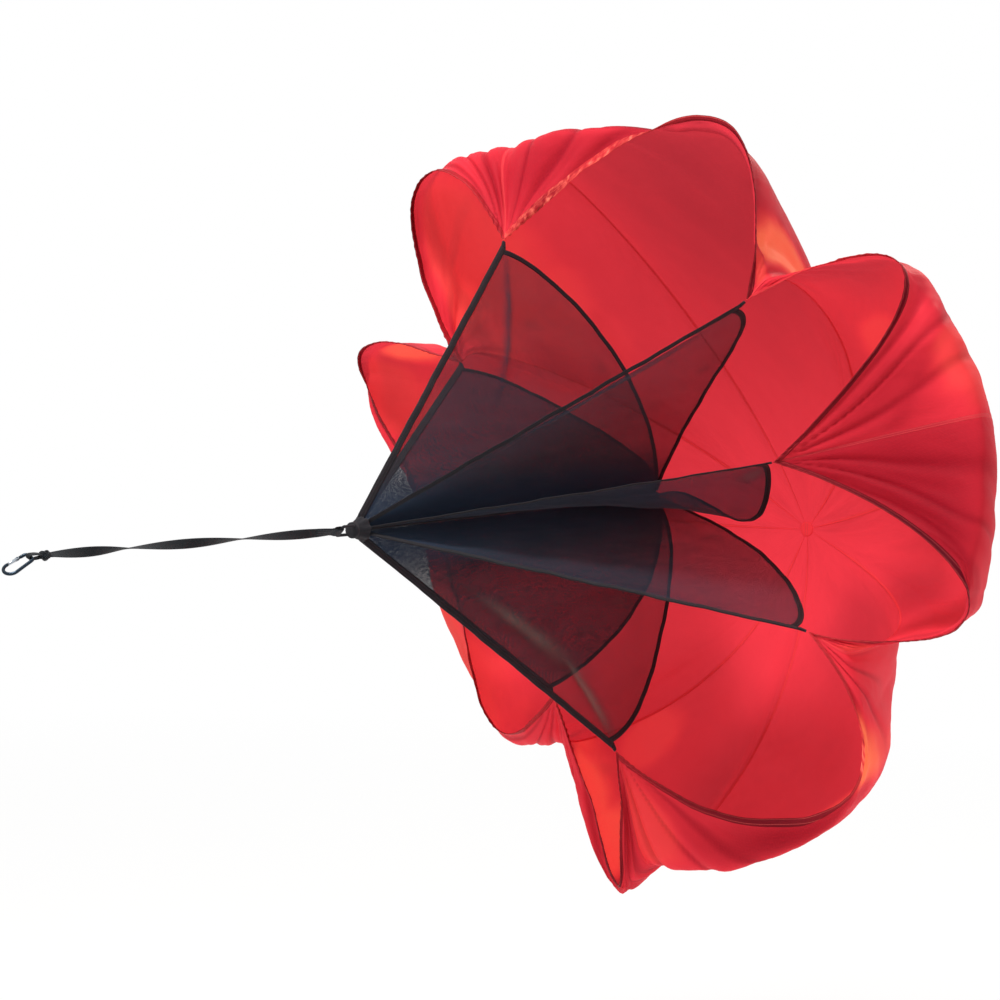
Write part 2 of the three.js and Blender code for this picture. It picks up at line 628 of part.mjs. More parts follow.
const wideCentre = HOOK_LENGTH - WIDE_RADIUS;
// The gate lies on the slanted line between the narrow and the wide bow
const sideSlope = (WIDE_RADIUS - NARROW_HALF) / (wideCentre - NARROW_BEND);
const sideAt = (x) => NARROW_HALF + sideSlope * (x - NARROW_BEND);
const pinY = sideAt(PIN_PLACE);
const tongueFoot = PIN_PLACE - GATE_RADIUS - 2.2;
{
  const path = [[tongueFoot, sideAt(tongueFoot)], [(tongueFoot + NARROW_BEND) / 2 + 1,
    sideAt((tongueFoot + NARROW_BEND) / 2 + 1)]];
  const bend = (cx, cy, radius, from, to, steps) => {
    for (let k = 0; k <= steps; k += 1) {
      const angle = THREE.MathUtils.degToRad(from + (to - from) * k / steps);
      path.push([cx + radius * Math.cos(angle), cy + radius * Math.sin(angle)]);
    }
  };
  bend(NARROW_BEND, NARROW_HALF - NARROW_BEND, NARROW_BEND, 90, 180, 4);
  bend(NARROW_BEND, -(NARROW_HALF - NARROW_BEND), NARROW_BEND, 180, 270, 4);
  bend(wideCentre, 0, WIDE_RADIUS, -88, 88, 12);
  path.push([NOSE_PLACE, sideAt(NOSE_PLACE)]);
  const wire = loft(roundRings(path.map(([x, y]) => new THREE.Vector3(x, y, 0)), WIRE / 2, 12));
  const neckLength = PIN_PLACE - tongueFoot + 1;
  const tongue = bar(TONGUE_RADIUS, TONGUE_THICK, 'z', [PIN_PLACE, pinY, 0])
    .add(block(neckLength, 2 * TONGUE_RADIUS, TONGUE_THICK, [PIN_PLACE - neckLength / 2, pinY, 0]));
  const hole = bar(PIN_RADIUS + CLEAR, 2 * WIRE, 'z', [PIN_PLACE, pinY, 0]);
  const body = solidOf(wire).add(tongue).subtract(hole);
  addMesh(hook, 'hook_body', geometryOf(body), steel());
}

// Gate: a round bar forked over the tongue, bored for its spring, in the hook's frame
const gateEnd = NOSE_PLACE - NOSE_GAP;
const gateTilt = Math.atan(sideSlope);
const springPlace = PIN_PLACE + TONGUE_RADIUS + 0.6;
{
  const gate = new THREE.Group();
  gate.position.set(PIN_PLACE, pinY, 0);
  gate.rotation.z = gateTilt;
  hook.add(gate);
  const length = gateEnd - PIN_PLACE;
  const slotHalf = TONGUE_THICK / 2 + CLEAR;
  const slotReach = TONGUE_RADIUS + CLEAR;
  const boreFrom = springPlace - PIN_PLACE - 0.5;
  const boreTo = springPlace - PIN_PLACE + SPRING_LENGTH + CLEAR;
  const slotLength = slotReach + GATE_RADIUS + 2;
  const body = bar(GATE_RADIUS, length, 'x', [length / 2, 0, 0])
    .add(bar(GATE_RADIUS, 2 * GATE_RADIUS * 0.92, 'z', [0, 0, 0]))
    .subtract(block(slotLength, 4 * GATE_RADIUS, 2 * slotHalf, [slotReach - slotLength / 2, 0, 0]))
    .subtract(bar(SPRING_BORE, boreTo - boreFrom + 1.5, 'x', [(boreFrom - 1.5 + boreTo) / 2, 0, 0], 12))
    .subtract(bar(PIN_RADIUS + CLEAR, 4 * GATE_RADIUS, 'z', [0, 0, 0]));
  addMesh(gate, 'hook_gate', geometryOf(body), steel());

  const pinLength = 2 * GATE_RADIUS * 0.92 + 2 * CLEAR;
  const pin = bar(PIN_RADIUS, pinLength + 0.2, 'z', [0, 0, 0])
    .add(bar(PIN_HEAD_RADIUS, PIN_HEAD_THICK, 'z', [0, 0, pinLength / 2 + PIN_HEAD_THICK / 2]))
    .add(bar(PIN_HEAD_RADIUS, PIN_HEAD_THICK, 'z', [0, 0, -pinLength / 2 - PIN_HEAD_THICK / 2]));
  addMesh(gate, 'gate_pin', geometryOf(pin), steel());

  const turns = SPRING_TURNS;
  const stepsPerTurn = 8;
  const coil = Array.from({ length: turns * stepsPerTurn + 1 }, (_, k) => {
    const angle = 2 * Math.PI * k / stepsPerTurn;
    const x = springPlace - PIN_PLACE + SPRING_WIRE
      + (SPRING_LENGTH - 2 * SPRING_WIRE) * k / (turns * stepsPerTurn);
    return new THREE.Vector3(x, SPRING_RADIUS * Math.cos(angle), SPRING_RADIUS * Math.sin(angle));
  });
  addMesh(gate, 'gate_spring', loft(roundRings(coil, SPRING_WIRE, 5)), steel());
}

// The seat of the belt ring, inside the wide bow, becomes the origin
const seat = hookLong.clone().multiplyScalar(HOOK_LENGTH - WIRE / 2).add(hookPlace);
part.position.copy(seat).negate();

export default part;
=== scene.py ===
"""Running-resistance parachute: canopy, net fins, tether and snap hook, dressed and lit."""

import logging
import math
from collections.abc import Callable, Sequence
from dataclasses import dataclass, replace
from enum import Enum

import bmesh
import bpy
import numpy as np
from mathutils import Matrix, Vector


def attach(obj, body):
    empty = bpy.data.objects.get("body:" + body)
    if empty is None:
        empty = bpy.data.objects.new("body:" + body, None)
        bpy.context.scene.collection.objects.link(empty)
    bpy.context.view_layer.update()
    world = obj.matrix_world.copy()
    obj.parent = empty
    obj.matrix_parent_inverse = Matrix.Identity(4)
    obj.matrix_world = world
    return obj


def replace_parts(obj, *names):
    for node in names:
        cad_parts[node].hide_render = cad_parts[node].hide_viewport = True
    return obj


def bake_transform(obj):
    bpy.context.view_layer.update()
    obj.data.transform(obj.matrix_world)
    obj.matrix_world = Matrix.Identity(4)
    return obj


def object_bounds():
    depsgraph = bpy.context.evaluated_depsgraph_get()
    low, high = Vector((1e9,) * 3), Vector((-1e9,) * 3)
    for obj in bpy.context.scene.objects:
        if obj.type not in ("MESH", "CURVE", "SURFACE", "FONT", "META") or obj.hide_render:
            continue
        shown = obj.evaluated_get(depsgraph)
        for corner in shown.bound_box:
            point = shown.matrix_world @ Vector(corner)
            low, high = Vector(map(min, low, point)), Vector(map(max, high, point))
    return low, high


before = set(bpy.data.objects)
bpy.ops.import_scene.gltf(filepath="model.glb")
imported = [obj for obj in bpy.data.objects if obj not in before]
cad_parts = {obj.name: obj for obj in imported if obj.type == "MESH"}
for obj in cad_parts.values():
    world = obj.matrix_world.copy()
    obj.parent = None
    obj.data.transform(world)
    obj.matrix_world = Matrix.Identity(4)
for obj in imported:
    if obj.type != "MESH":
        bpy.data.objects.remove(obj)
CAD_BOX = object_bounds()
log = logging.getLogger("parachute")

Array = np.ndarray
Colour = tuple[float, float, float, float]
MM = 0.001
CLOTH_UV = "cloth"
# The apex, where the fins gather, in the shared frame. Most pieces are laid out from it, in mm.
APEX = np.array([0.720806, -0.007268, 0.019968])
X_WAY = np.array([1.0, 0.0, 0.0])
# In mm, as in the CAD source: places on the pull axis, the clearance between pieces, and a
# fin's length from the apex to its hem corner
COLLAR_BACK, NET_MIDDLE, LINK, HOOK_PLACE = 16.0, 815.0, -38.0, -684.0
CLEAR = 0.3
FIN_LENGTH = 810.0
# In flight the canopy and its nets ride at this angle above the tether's line
CHUTE_RISE = math.radians(1.3)


def to_frame(points: Array) -> Array:
    """Points laid out from the apex in mm, as points of the shared frame in metres."""
    return APEX + np.asarray(points, float) * MM


def risen(points: Array) -> Array:
    """Points of the canopy's own layout, turned up about the apex as it flies.

    Args:
        points: Points from the apex, in mm, before the turn.

    Returns:
        The points after it.
    """
    x, y, z = np.moveaxis(np.asarray(points, float), -1, 0)
    c, s = math.cos(CHUTE_RISE), math.sin(CHUTE_RISE)
    return np.stack([x * c - z * s, y, x * s + z * c], -1)


def unit(v: Array) -> Array:
    """The vectors of v at length one."""
    v = np.asarray(v, float)
    return v / np.maximum(np.linalg.norm(v, axis=-1, keepdims=True), 1e-12)


def rolled(degrees: float) -> Array:
    """The way across the pull axis at a roll from +Y towards +Z."""
    a = math.radians(degrees)
    return np.array([0.0, math.cos(a), math.sin(a)])


def outward(turn: float) -> Array:
    """The way out from the pull axis at a turn from the near side, downwards."""
    a = math.radians(turn)
    return np.array([0.0, -math.cos(a), -math.sin(a)])


def ease(x: Array, low: float, high: float) -> Array:
    """0 below low, 1 above high, and a smooth rise between."""
    s = np.clip((np.asarray(x, float) - low) / (high - low), 0, 1)
    return s * s * (3 - 2 * s)


def bezier(a: Array, b: Array, c: Array, d: Array, t: Array) -> Array:
    """Points of a cubic curve.

    Args:
        a: Its start.
        b: The start's handle.
        c: The end's handle.
        d: Its end.
        t: Places along it, from 0 to 1.

    Returns:
        The points.
    """
    t = np.asarray(t, float)[..., None]
    s = 1 - t
    return a * s**3 + 3 * b * s**2 * t + 3 * c * s * t**2 + d * t**3


def ripple(x: Array, y: Array, scale: float, seed: int, octaves: int = 3) -> Array:
    """A soft uneven field between about -1 and 1, made of crossed waves.

    Args:
        x: One coordinate, in mm.
        y: The other coordinate, in mm.
        scale: The width of its largest lumps, in mm.
        seed: Picks another pattern of the same kind.
        octaves: How many finer layers it has.

    Returns:
        The field's value at each point.
    """
    rng = np.random.RandomState(seed)
    total = np.zeros_like(np.asarray(x, float))
    for level in range(octaves):
        for _ in range(5):
            way, phase = rng.uniform(0, math.tau, 2)
            wave = math.tau * 1.7**level / scale * rng.uniform(0.6, 1.2)
            total += np.sin(wave * (x * math.cos(way) + y * math.sin(way)) + phase) / 1.6**level
    return total / 4.5


def srgb(red: int, green: int, blue: int, alpha: float = 1.0) -> Colour:
    """The linear colour that a shader takes, from one read on a screen.

    Args:
        red: Its red, from 0 to 255.
        green: Its green.
        blue: Its blue.
        alpha: Its cover, from 0 to 1.

    Returns:
        The colour.
    """
    def linear(v: int) -> float:
        """One channel."""
        c = v / 255
        return c / 12.92 if c <= 0.04045 else ((c + 0.055) / 1.055) ** 2.4

    return (linear(red), linear(green), linear(blue), alpha)


class Material:
    """A material's or the world's node tree, in which a shader is written as expressions."""

    def __init__(self, name: str, block: bpy.types.ID | None = None) -> None:
        """Starts an empty tree.

        Args:
            name: The material's name.
            block: The world that it is for, instead of a new material.
        """
        self.block = block or bpy.data.materials.new(name)
        self.block.use_nodes = True
        self.tree = self.block.node_tree
        self.tree.nodes.clear()
        kind = "World" if isinstance(block, bpy.types.World) else "Material"
        self.out = self.tree.nodes.new(f"ShaderNodeOutput{kind}")

    def node(self, kind: str, settings: dict | None = None, inputs: dict | None = None,
             output: int | str = 0) -> "Sock":
        """Adds a node.

        Args:
            kind: The node's type.
            settings: Its own settings, set first. A ramp's stops are given as stops.
            inputs: Values or links, by a socket's name or place.
            output: Which output is wanted.

        Returns:
            The wanted output.
        """
        made = self.tree.nodes.new(kind)
        for key, value in (settings or {}).items():
            if key == "stops":
                ramp = made.color_ramp
                for i, (place, colour) in enumerate(value):
                    stop = ramp.elements[i] if i < 2 else ramp.elements.new(place)
                    stop.position, stop.color = place, colour
            else:
                setattr(made, key, value)
        for key, value in (inputs or {}).items():
            socket = made.inputs[key]
            if isinstance(value, Sock):
                self.tree.links.new(value.socket, socket)
            elif value is not None:
                many = hasattr(socket.default_value, "__len__")
                if many and not hasattr(value, "__len__"):
                    value = (value,) * len(socket.default_value)
                socket.default_value = value
        return Sock(self, made.outputs[output])

    def mix(self, share: "Sock | float", a: "Sock | tuple", b: "Sock | tuple") -> "Sock":
        """The colour between a and b."""
        return self.node("ShaderNodeMix", {"data_type": "RGBA"}, {0: share, 6: a, 7: b}, 2)

    def principled(self, inputs: dict) -> "Sock":
        """The shader of a surface in which only its alpha lets light pass."""
        return self.node("ShaderNodeBsdfPrincipled", {}, inputs)

    def blend(self, share: "Sock | float", a: "Sock", b: "Sock") -> "Sock":
        """The shader between a and b."""
        return self.node("ShaderNodeMixShader", {}, {0: share, 1: a, 2: b})

    def cloth(self) -> tuple["Sock", "Sock", "Sock"]:
        """The cloth's own coordinates in metres, and their parts across and along the weave."""
        uv = self.node("ShaderNodeUVMap", {"uv_map": CLOTH_UV})
        return uv, *self.split(uv)

    def split(self, vector: "Sock") -> tuple["Sock", "Sock"]:
        """The first two parts of a vector."""
        made = self.node("ShaderNodeSeparateXYZ", {}, {0: vector})
        return made, Sock(self, made.socket.node.outputs[1])

    def attribute(self, name: str) -> "Sock":
        """A number that the mesh holds at each point."""
        return self.node("ShaderNodeAttribute", {"attribute_name": name}, {}, "Fac")

    def noise(self, vector: "Sock", scale: float, detail: float = 3.0, rough: float = 0.55,
              distortion: float = 0.0) -> "Sock":
        """Cloudy noise.

        Args:
            vector: Where it is read.
            scale: How many lumps a metre has.
            detail: How many finer layers it has.
            rough: How strong those are.
            distortion: How far it is warped.

        Returns:
            The noise, from 0 to 1.
        """
        return self.node("ShaderNodeTexNoise", {}, {
            "Vector": vector, "Scale": scale, "Detail": detail, "Roughness": rough,
            "Distortion": distortion})

    def bump(self, height: "Sock", distance: float) -> "Sock":
        """A normal from a height of 0 to 1 that stands distance metres."""
        return self.node("ShaderNodeBump", {}, {"Height": height, "Distance": distance,
                                                "Strength": 1.0})

    def surface(self, shader: "Sock") -> bpy.types.Material:
        """Ends the tree in a shader and gives the material."""
        self.tree.links.new(shader.socket, self.out.inputs["Surface"])
        return self.block


@dataclass(frozen=True)
class Sock:
    """A node's output that can be written in sums, with numbers on either side."""

    owner: Material
    socket: bpy.types.NodeSocket

    def join(self, operation: str, other: "Sock | float | None" = None,
             swapped: bool = False) -> "Sock":
        """The Math or Vector Math node for one operation.

        Args:
            operation: The operation.
            other: Its other side, where it has one.
            swapped: Whether that side comes first.

        Returns:
            The result.
        """
        a, b = (other, self) if swapped else (self, other)
        wide = any(isinstance(s, Sock) and s.socket.type in {"VECTOR", "RGBA"} for s in (a, b))
        kind = "ShaderNodeVectorMath" if wide else "ShaderNodeMath"
        return self.owner.node(kind, {"operation": operation}, {0: a, 1: b})

    def __add__(self, other: "Sock | float") -> "Sock":
        """self + other"""
        return self.join("ADD", other)

    def __radd__(self, other: float) -> "Sock":
        """other + self"""
        return self.join("ADD", other, True)

    def __sub__(self, other: "Sock | float") -> "Sock":
        """self - other"""
        return self.join("SUBTRACT", other)

    def __rsub__(self, other: float) -> "Sock":
        """other - self"""
        return self.join("SUBTRACT", other, True)

    def __mul__(self, other: "Sock | float") -> "Sock":
        """self * other"""
        return self.join("MULTIPLY", other)

    def __rmul__(self, other: float) -> "Sock":
        """other * self"""
        return self.join("MULTIPLY", other, True)

    def __truediv__(self, other: "Sock | float") -> "Sock":
        """self / other"""
        return self.join("DIVIDE", other)

    def __rtruediv__(self, other: float) -> "Sock":
        """other / self"""
        return self.join("DIVIDE", other, True)

    def __abs__(self) -> "Sock":
        """The size of self"""
        return self.join("ABSOLUTE")

    def sin(self) -> "Sock":
        """The sine of self."""
        return self.join("SINE")

    def part(self) -> "Sock":
        """What is left of self over its whole number."""
        return self.join("FRACT")

    def limit(self, low: float = 0.0, high: float = 1.0) -> "Sock":
        """self kept between two numbers."""
        return self.join("MAXIMUM", low).join("MINIMUM", high)

    def band(self, centre: float, half: float, soft: float) -> "Sock":
        """1 within half of centre, falling to 0 over soft."""
        return ((half + soft - abs(self - centre)) / soft).limit()


def stitches(m: Material, across: Sock, along: Sock, rows: Sequence[float], pitch: float,
             thread: float = 0.0009) -> Sock:
    """Rows of lockstitch.

    Args:
        m: The material that they go into.
        across: Metres across the tape or hem.
        along: Metres along it.
        rows: Where the rows lie across, in metres.
        pitch: The length of a stitch, in metres.
        thread: The thread's width, in metres.

    Returns:
        1 on a stitch and 0 beside it.
    """
    dash = ((along / pitch).part() - 0.5).band(0.0, 0.3, 0.12)
    total = None
    for row in rows:
        line = across.band(row, thread / 2, thread / 3)
        total = line if total is None else total + line
    return (total * dash).limit()


@dataclass(frozen=True)
class NylonFinish:
    """Thin woven nylon that lets light through."""

    name: str
    colour: Colour
    shade: Colour
    # deep is the colour of the painted shade, in the creases and on the shaded patches
    deep: Colour = srgb(104, 8, 30)
    # glow is the colour of the painted sunlight on the sunlit patches, and shine the colour of
    # their painted glow
    glow: Colour = srgb(255, 152, 98)
    shine: Colour = srgb(255, 66, 56)
    # own is a painted glow that the whole piece gives off, though it is no lamp
    own: Colour = srgb(0, 0, 0)
    passing: Colour = srgb(255, 74, 88)
    # lit is how strongly the painted glows shine
    lit: float = 0.4
    # Breaks the painted sunlight into uneven bands, as the light on puckers
    sunlit_breakup: float = 0.0
    through: float = 0.24
    rough: float = 0.48
    rip: float = 0.006
    thread: float = 0.0009
    rows: tuple[float, ...] = ()
    stitch: Colour = srgb(232, 96, 92)
    pitch: float = 0.0032

    def material(self) -> bpy.types.Material:
        """The finish as a material.

        Returns:
            The material.
        """
        m = Material(self.name)
        uv, across, along = m.cloth()
        cloud = m.noise(uv, 9.0, 4.0)
        fine = m.noise(uv, 260.0, 2.0)
        tone = m.mix((cloud * 0.8 + 0.15).limit(), self.shade, self.colour)
        # Painted shade in the folds of the pleats
        tone = m.mix(m.attribute("crease").limit() * 0.5, tone, self.deep)
        # Painted shade on the shaded patches
        tone = m.mix(m.attribute("dim").limit(), tone, self.deep)
        # Painted sunlight on the sunlit patches, broken into uneven bands on the hems
        sunlit = m.attribute("sunlit").limit()
        if self.sunlit_breakup:
            sunlit = (sunlit * (1 + self.sunlit_breakup * (0.42 - m.noise(uv, 75.0, 3.0)) * 5)).limit()
        tone = m.mix(sunlit * sunlit * sunlit, tone, self.glow)
        rip_across, rip_along = (((place / self.rip).part() - 0.5).band(0.0, 0.035, 0.03)
                                 for place in (across, along))
        grid = (rip_across + rip_along).limit()
        tone = m.mix((grid * 0.12 + (fine - 0.45) * 0.5).limit(), tone, self.shade)
        turn = math.tau / self.thread
        threads = (across * turn).sin() * (along * turn).sin()
        height = threads * 0.12 + grid * 0.5 + fine * 0.6
        if self.rows:
            sewn = stitches(m, across, along, self.rows, self.pitch)
            tone = m.mix(sewn * 0.85, tone, self.stitch)
            height = height + sewn * 1.6
        normal = m.bump(height, 0.00022)
        # The emission paints light: the sunlit patches glow, and seams give off a faint glow of
        # their own
        face = m.principled({
            "Base Color": tone, "Roughness": self.rough + (cloud - 0.5) * 0.14, "Normal": normal,
            "Specular IOR Level": 0.05,
            "Emission Color": m.mix(sunlit, self.own, self.shine), "Emission Strength": self.lit,
        })
        back = m.node("ShaderNodeBsdfTranslucent", {}, {"Color": self.passing, "Normal": normal})
        return m.surface(m.blend(self.through, face, back))


@dataclass(frozen=True)
class NetFinish:
    """Warp-knit net: thin yarns round open holes."""

    name: str
    colour: Colour
    # lit is the colour of the painted highlight on the folds
    lit: Colour
    packed: Colour
    hole: float = 0.0017
    yarn: float = 0.165

    def material(self) -> bpy.types.Material:
        """The finish as a material.

        Returns:
            The material.
        """
        m = Material(self.name)
        uv, across, along = m.cloth()
        slant = m.node("ShaderNodeCombineXYZ", {}, {0: across + along, 1: across - along, 2: 0.0})
        waver = m.noise(uv, 70.0, 2.0)
        cell = m.node("ShaderNodeTexVoronoi",
                      {"feature": "DISTANCE_TO_EDGE", "voronoi_dimensions": "2D"},
                      {"Vector": slant + waver * 0.0006, "Scale": 1 / (self.hole * 1.2),
                       "Randomness": 0.6})
        fold = m.attribute("crease").limit()
        gathered = m.attribute("gathered")
        width = (self.yarn + fold * 0.16 + gathered * 0.16
                 + (m.noise(uv, 12.0, 2.0) - 0.5) * 0.05)
        yarn = ((width + 0.035 - cell) / 0.05).limit()
        tone = m.mix(gathered.limit() * gathered.limit() * 0.95, self.colour, self.packed)
        # Painted highlight along the folds
        tone = m.mix(fold * fold * 0.85, tone, self.lit)
        tone = m.mix((m.noise(uv, 700.0, 2.0) - 0.35).limit() * 0.16, tone, self.lit)
        face = m.principled({
            "Base Color": tone, "Roughness": 0.72, "Alpha": yarn,
            "Normal": m.bump(yarn, 0.0003), "Specular IOR Level": 0.25,
            "Sheen Weight": 0.05, "Sheen Roughness": 0.5,
        })
        return m.surface(face)


class Weave(Enum):
    """How a tape or webbing is woven."""

    RIBBED = "ribs across, as grosgrain tape"
    TWILL = "slanted ribs, as flat webbing"
    BRAID = "crossed strands, as cord"


@dataclass(frozen=True)
class TapeFinish:
    """Woven tape, webbing or cord, with rows of stitches where it is sewn."""

    name: str
    colour: Colour
    worn: Colour
    weave: Weave = Weave.RIBBED
    pitch: float = 0.0014
    rows: tuple[float, ...] = ()
    stitch: Colour = srgb(74, 72, 88)
    half_width: float = 0.006
    stitch_pitch: float = 0.0034

    def strands(self, m: Material, across: Sock, along: Sock) -> Sock:
        """The weave's height from 0 to 1.

        Args:
            m: The material that it goes into.
            across: Metres across the tape.
            along: Metres along it.

        Returns:
            The height at each point.
        """
        turn = math.tau / self.pitch
        if self.weave is Weave.RIBBED:
            return (along * turn).sin() * 0.4 + (across * turn * 2).sin() * 0.1 + 0.5
        if self.weave is Weave.TWILL:
            arm = abs(across) + along
            return (arm * turn).sin() * 0.4 + (across * turn * 1.7).sin() * 0.12 + 0.5
        one = ((along + across) * turn).sin()
        two = ((along - across) * turn).sin()
        return one * two * 0.45 + 0.5

    def material(self) -> bpy.types.Material:
        """The finish as a material.

        Returns:
            The material.
        """
        m = Material(self.name)
        uv, across, along = m.cloth()
        strands = self.strands(m, across, along)
        fuzz = m.noise(uv, 900.0, 3.0)
        cloud = m.noise(uv, 24.0, 3.0)
        edge = ((abs(across) - self.half_width * 0.82) / (self.half_width * 0.18)).limit()
        wear = (edge * 0.55 + (cloud - 0.55).limit() * 0.8).limit() * fuzz
        tone = m.mix(wear, self.colour, self.worn)
        # Painted shade in the hollows between the strands
        tone = m.mix((0.62 - strands).limit() * 0.55, tone, srgb(3, 3, 5))
        height = strands + fuzz * 0.35
        if self.rows:
            sewn = stitches(m, across, along, self.rows, self.stitch_pitch)
            tone = m.mix(sewn * 0.8, tone, self.stitch)
            height = height + sewn * 0.9
        return m.surface(m.principled({
            "Base Color": tone, "Roughness": 0.66 + (fuzz - 0.5) * 0.2,
            "Normal": m.bump(height, 0.00035), "Specular IOR Level": 0.22,
            "Sheen Weight": 0.06, "Sheen Roughness": 0.5,
        }))


@dataclass(frozen=True)
class SteelFinish:
    """Polished steel with fine rubbing marks; its bright and dark copies are lit and shaded copies
    of one steel, a painted highlight and painted shade.
    """

    name: str
    colour: Colour
    dull: Colour
    rough: float = 0.16

    def material(self) -> bpy.types.Material:
        """The finish as a material.

        Returns:
            The material.
        """
        m = Material(self.name)
        place = m.node("ShaderNodeTexCoord", {}, {}, "Object")
        cloud = m.noise(place, 160.0, 4.0)
        scuff = m.noise(place, 2200.0, 2.0, 0.5, 1.5)
        worn = ((cloud - 0.52) * 3.0).limit()
        tone = m.mix(worn * 0.5, self.colour, self.dull)
        return m.surface(m.principled({
            "Base Color": tone, "Metallic": 1.0,
            "Roughness": self.rough + worn * 0.16 + (scuff - 0.5) * 0.08,
            "Normal": m.bump(scuff, 0.00002),
        }))


CANOPY_RED = NylonFinish("canopy_nylon", srgb(248, 64, 80), srgb(222, 48, 64))
# The seams give off a faint painted glow, so that they look as bright as the cloth beside them,
# which light passes through
SEAM_RED = NylonFinish("seam_nylon", srgb(250, 70, 80), srgb(234, 56, 68), own=srgb(118, 16, 20),
                       through=0.05, rows=(-0.0021, 0.0021), rip=0.0045,
                       stitch=srgb(218, 74, 78))
# The hems have a darker painted shade and a pinker painted sunlight, broken into bands
HEM_RED = NylonFinish("hem_nylon", srgb(240, 62, 72), srgb(206, 40, 54), deep=srgb(78, 8, 26),
                      glow=srgb(255, 150, 128), passing=srgb(255, 112, 104), through=0.2,
                      rows=(-0.0052, 0.0046), rip=0.0045, sunlit_breakup=0.8)
NET_NAVY = NetFinish("net_knit", srgb(13, 26, 42), srgb(130, 122, 112), srgb(9, 40, 66))
TAPE_BLACK = TapeFinish("binding_tape", srgb(12, 10, 18), srgb(27, 25, 36), pitch=0.0013,
                        rows=(-0.0032, 0.0036), stitch=srgb(46, 44, 58))
TAB_BLACK = replace(TAPE_BLACK, name="tab_tape", colour=srgb(13, 11, 18), worn=srgb(36, 33, 44),
                    pitch=0.0012, rows=(-0.003, -0.001, 0.001, 0.003))
WEB_BLACK = TapeFinish("tether_webbing", srgb(10, 18, 24), srgb(40, 50, 60), Weave.TWILL, 0.0022,
                       half_width=0.0075)
WEB_SEWN = replace(WEB_BLACK, name="tether_webbing_sewn", stitch=srgb(50, 58, 68),
                   rows=(-0.0052, -0.0018, 0.0018, 0.0052))
CORD_BLACK = TapeFinish("apex_cord", srgb(14, 13, 20), srgb(42, 40, 50), Weave.BRAID, 0.0021)
# The hook's dark steel is painted shade and dark reflection, and the gate's bright steel a painted
# highlight
SHADED_HOOK_STEEL = SteelFinish("hook_steel", srgb(44, 54, 64), srgb(26, 32, 40), 0.2)
HIGHLIT_GATE_STEEL = SteelFinish("gate_steel", srgb(176, 184, 192), srgb(110, 116, 124))
SPRING_STEEL = SteelFinish("spring_steel", srgb(160, 162, 166), srgb(110, 112, 116), 0.3)
Finish = NylonFinish | NetFinish | TapeFinish | SteelFinish
# A mesh before it is made: vertices in mm, faces, and metres across and along at each vertex
Form = tuple[Array, list[list[int]], Array]


class Finishes:
    """Makes each finish once, when a piece first asks for it."""

    made: dict[str, bpy.types.Material] = {}

    @classmethod
    def of(cls, finish: Finish) -> bpy.types.Material:
        """The material of a finish.

        Args:
            finish: The finish.

        Returns:
            The material.
        """
        if finish.name not in cls.made:
            cls.made[finish.name] = finish.material()
        return cls.made[finish.name]


def make_piece(name: str, form: Form, finish: Finish, body: str = "chute",
               marks: dict[str, Array] | None = None) -> bpy.types.Object:
    """A mesh object that rides on a body.

    Args:
        name: The piece's name.
        form: Its form, in mm from the apex.
        finish: What it is made of.
        body: The body that it rides on.
        marks: Named numbers at each vertex.

    Returns:
        The object.
    """
    points, faces, uvs = form
    mesh = bpy.data.meshes.new(name)
    mesh.from_pydata(to_frame(points).tolist(), [], faces)
    corner = np.empty(len(mesh.loops), int)
    mesh.loops.foreach_get("vertex_index", corner)
    mesh.uv_layers.new(name=CLOTH_UV).data.foreach_set("uv", uvs[corner].ravel())
    for key, values in (marks or {}).items():
        mark = mesh.attributes.new(key, "FLOAT", "POINT")
        mark.data.foreach_set("value", np.asarray(values, np.float32).ravel())
    mesh.polygons.foreach_set("use_smooth", [True] * len(mesh.polygons))
    mesh.materials.append(Finishes.of(finish))
    mesh.validate()
    made = bpy.data.objects.new(name, mesh)
    bpy.context.collection.objects.link(made)
    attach(made, body)
    return made


def dress(name: str, form: Form, finish: Finish, body: str = "chute",
          marks: dict[str, Array] | None = None) -> bpy.types.Object:
    """A piece, made as make_piece does, that stands for the CAD node of its name."""
    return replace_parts(make_piece(name, form, finish, body, marks), name)


def note(*pieces: bpy.types.Object) -> None:
    """Logs each piece's name and size.

    Args:
        pieces: The pieces.
    """
    for piece in pieces:
        log.info("%s: %d faces", piece.name, len(piece.data.polygons))


def flown(form: Form) -> Form:
    """A form of the canopy's own layout, turned up about the apex as it flies."""
    return risen(form[0]), *form[1:]


def grid_faces(rows: int, cols: int, closed: bool = False, start: int = 0,
               flip: bool = False) -> list[list[int]]:
    """Quads over a grid of vertices.

    Args:
        rows: How many rows of vertices there are.
        cols: How many columns.
        closed: Whether the last column joins the first.
        start: The first vertex's place.
        flip: Whether the faces turn the other way.

    Returns:
        The faces.
    """
    faces = []
    for i in range(rows - 1):
        for j in range(cols if closed else cols - 1):
            k = (j + 1) % cols
            quad = [start + i * cols + j, start + i * cols + k,
                    start + (i + 1) * cols + k, start + (i + 1) * cols + j]
            faces.append(quad[::-1] if flip else quad)
    return faces


def lengths_along(grid: Array, axis: int = 0) -> Array:
    """How far each point of a grid is along its line.

    Args:
        grid: Rows and columns of points, in mm.
        axis: Whether the lines run down the columns, 0, or along the rows, 1.

    Returns:
        Distances from the lines' starts, in mm.
    """
    steps = np.linalg.norm(np.diff(grid, axis=axis), axis=-1)
    zero = np.zeros_like(np.take(steps, [0], axis=axis))
    return np.concatenate([zero, np.cumsum(steps, axis=axis)], axis=axis)


def metres(across: Array, along: Array) -> Array:
    """Cloth coordinates in metres from distances across and along in mm, one row a vertex."""
    return np.stack(np.broadcast_arrays(across, along), -1).reshape(-1, 2) * MM


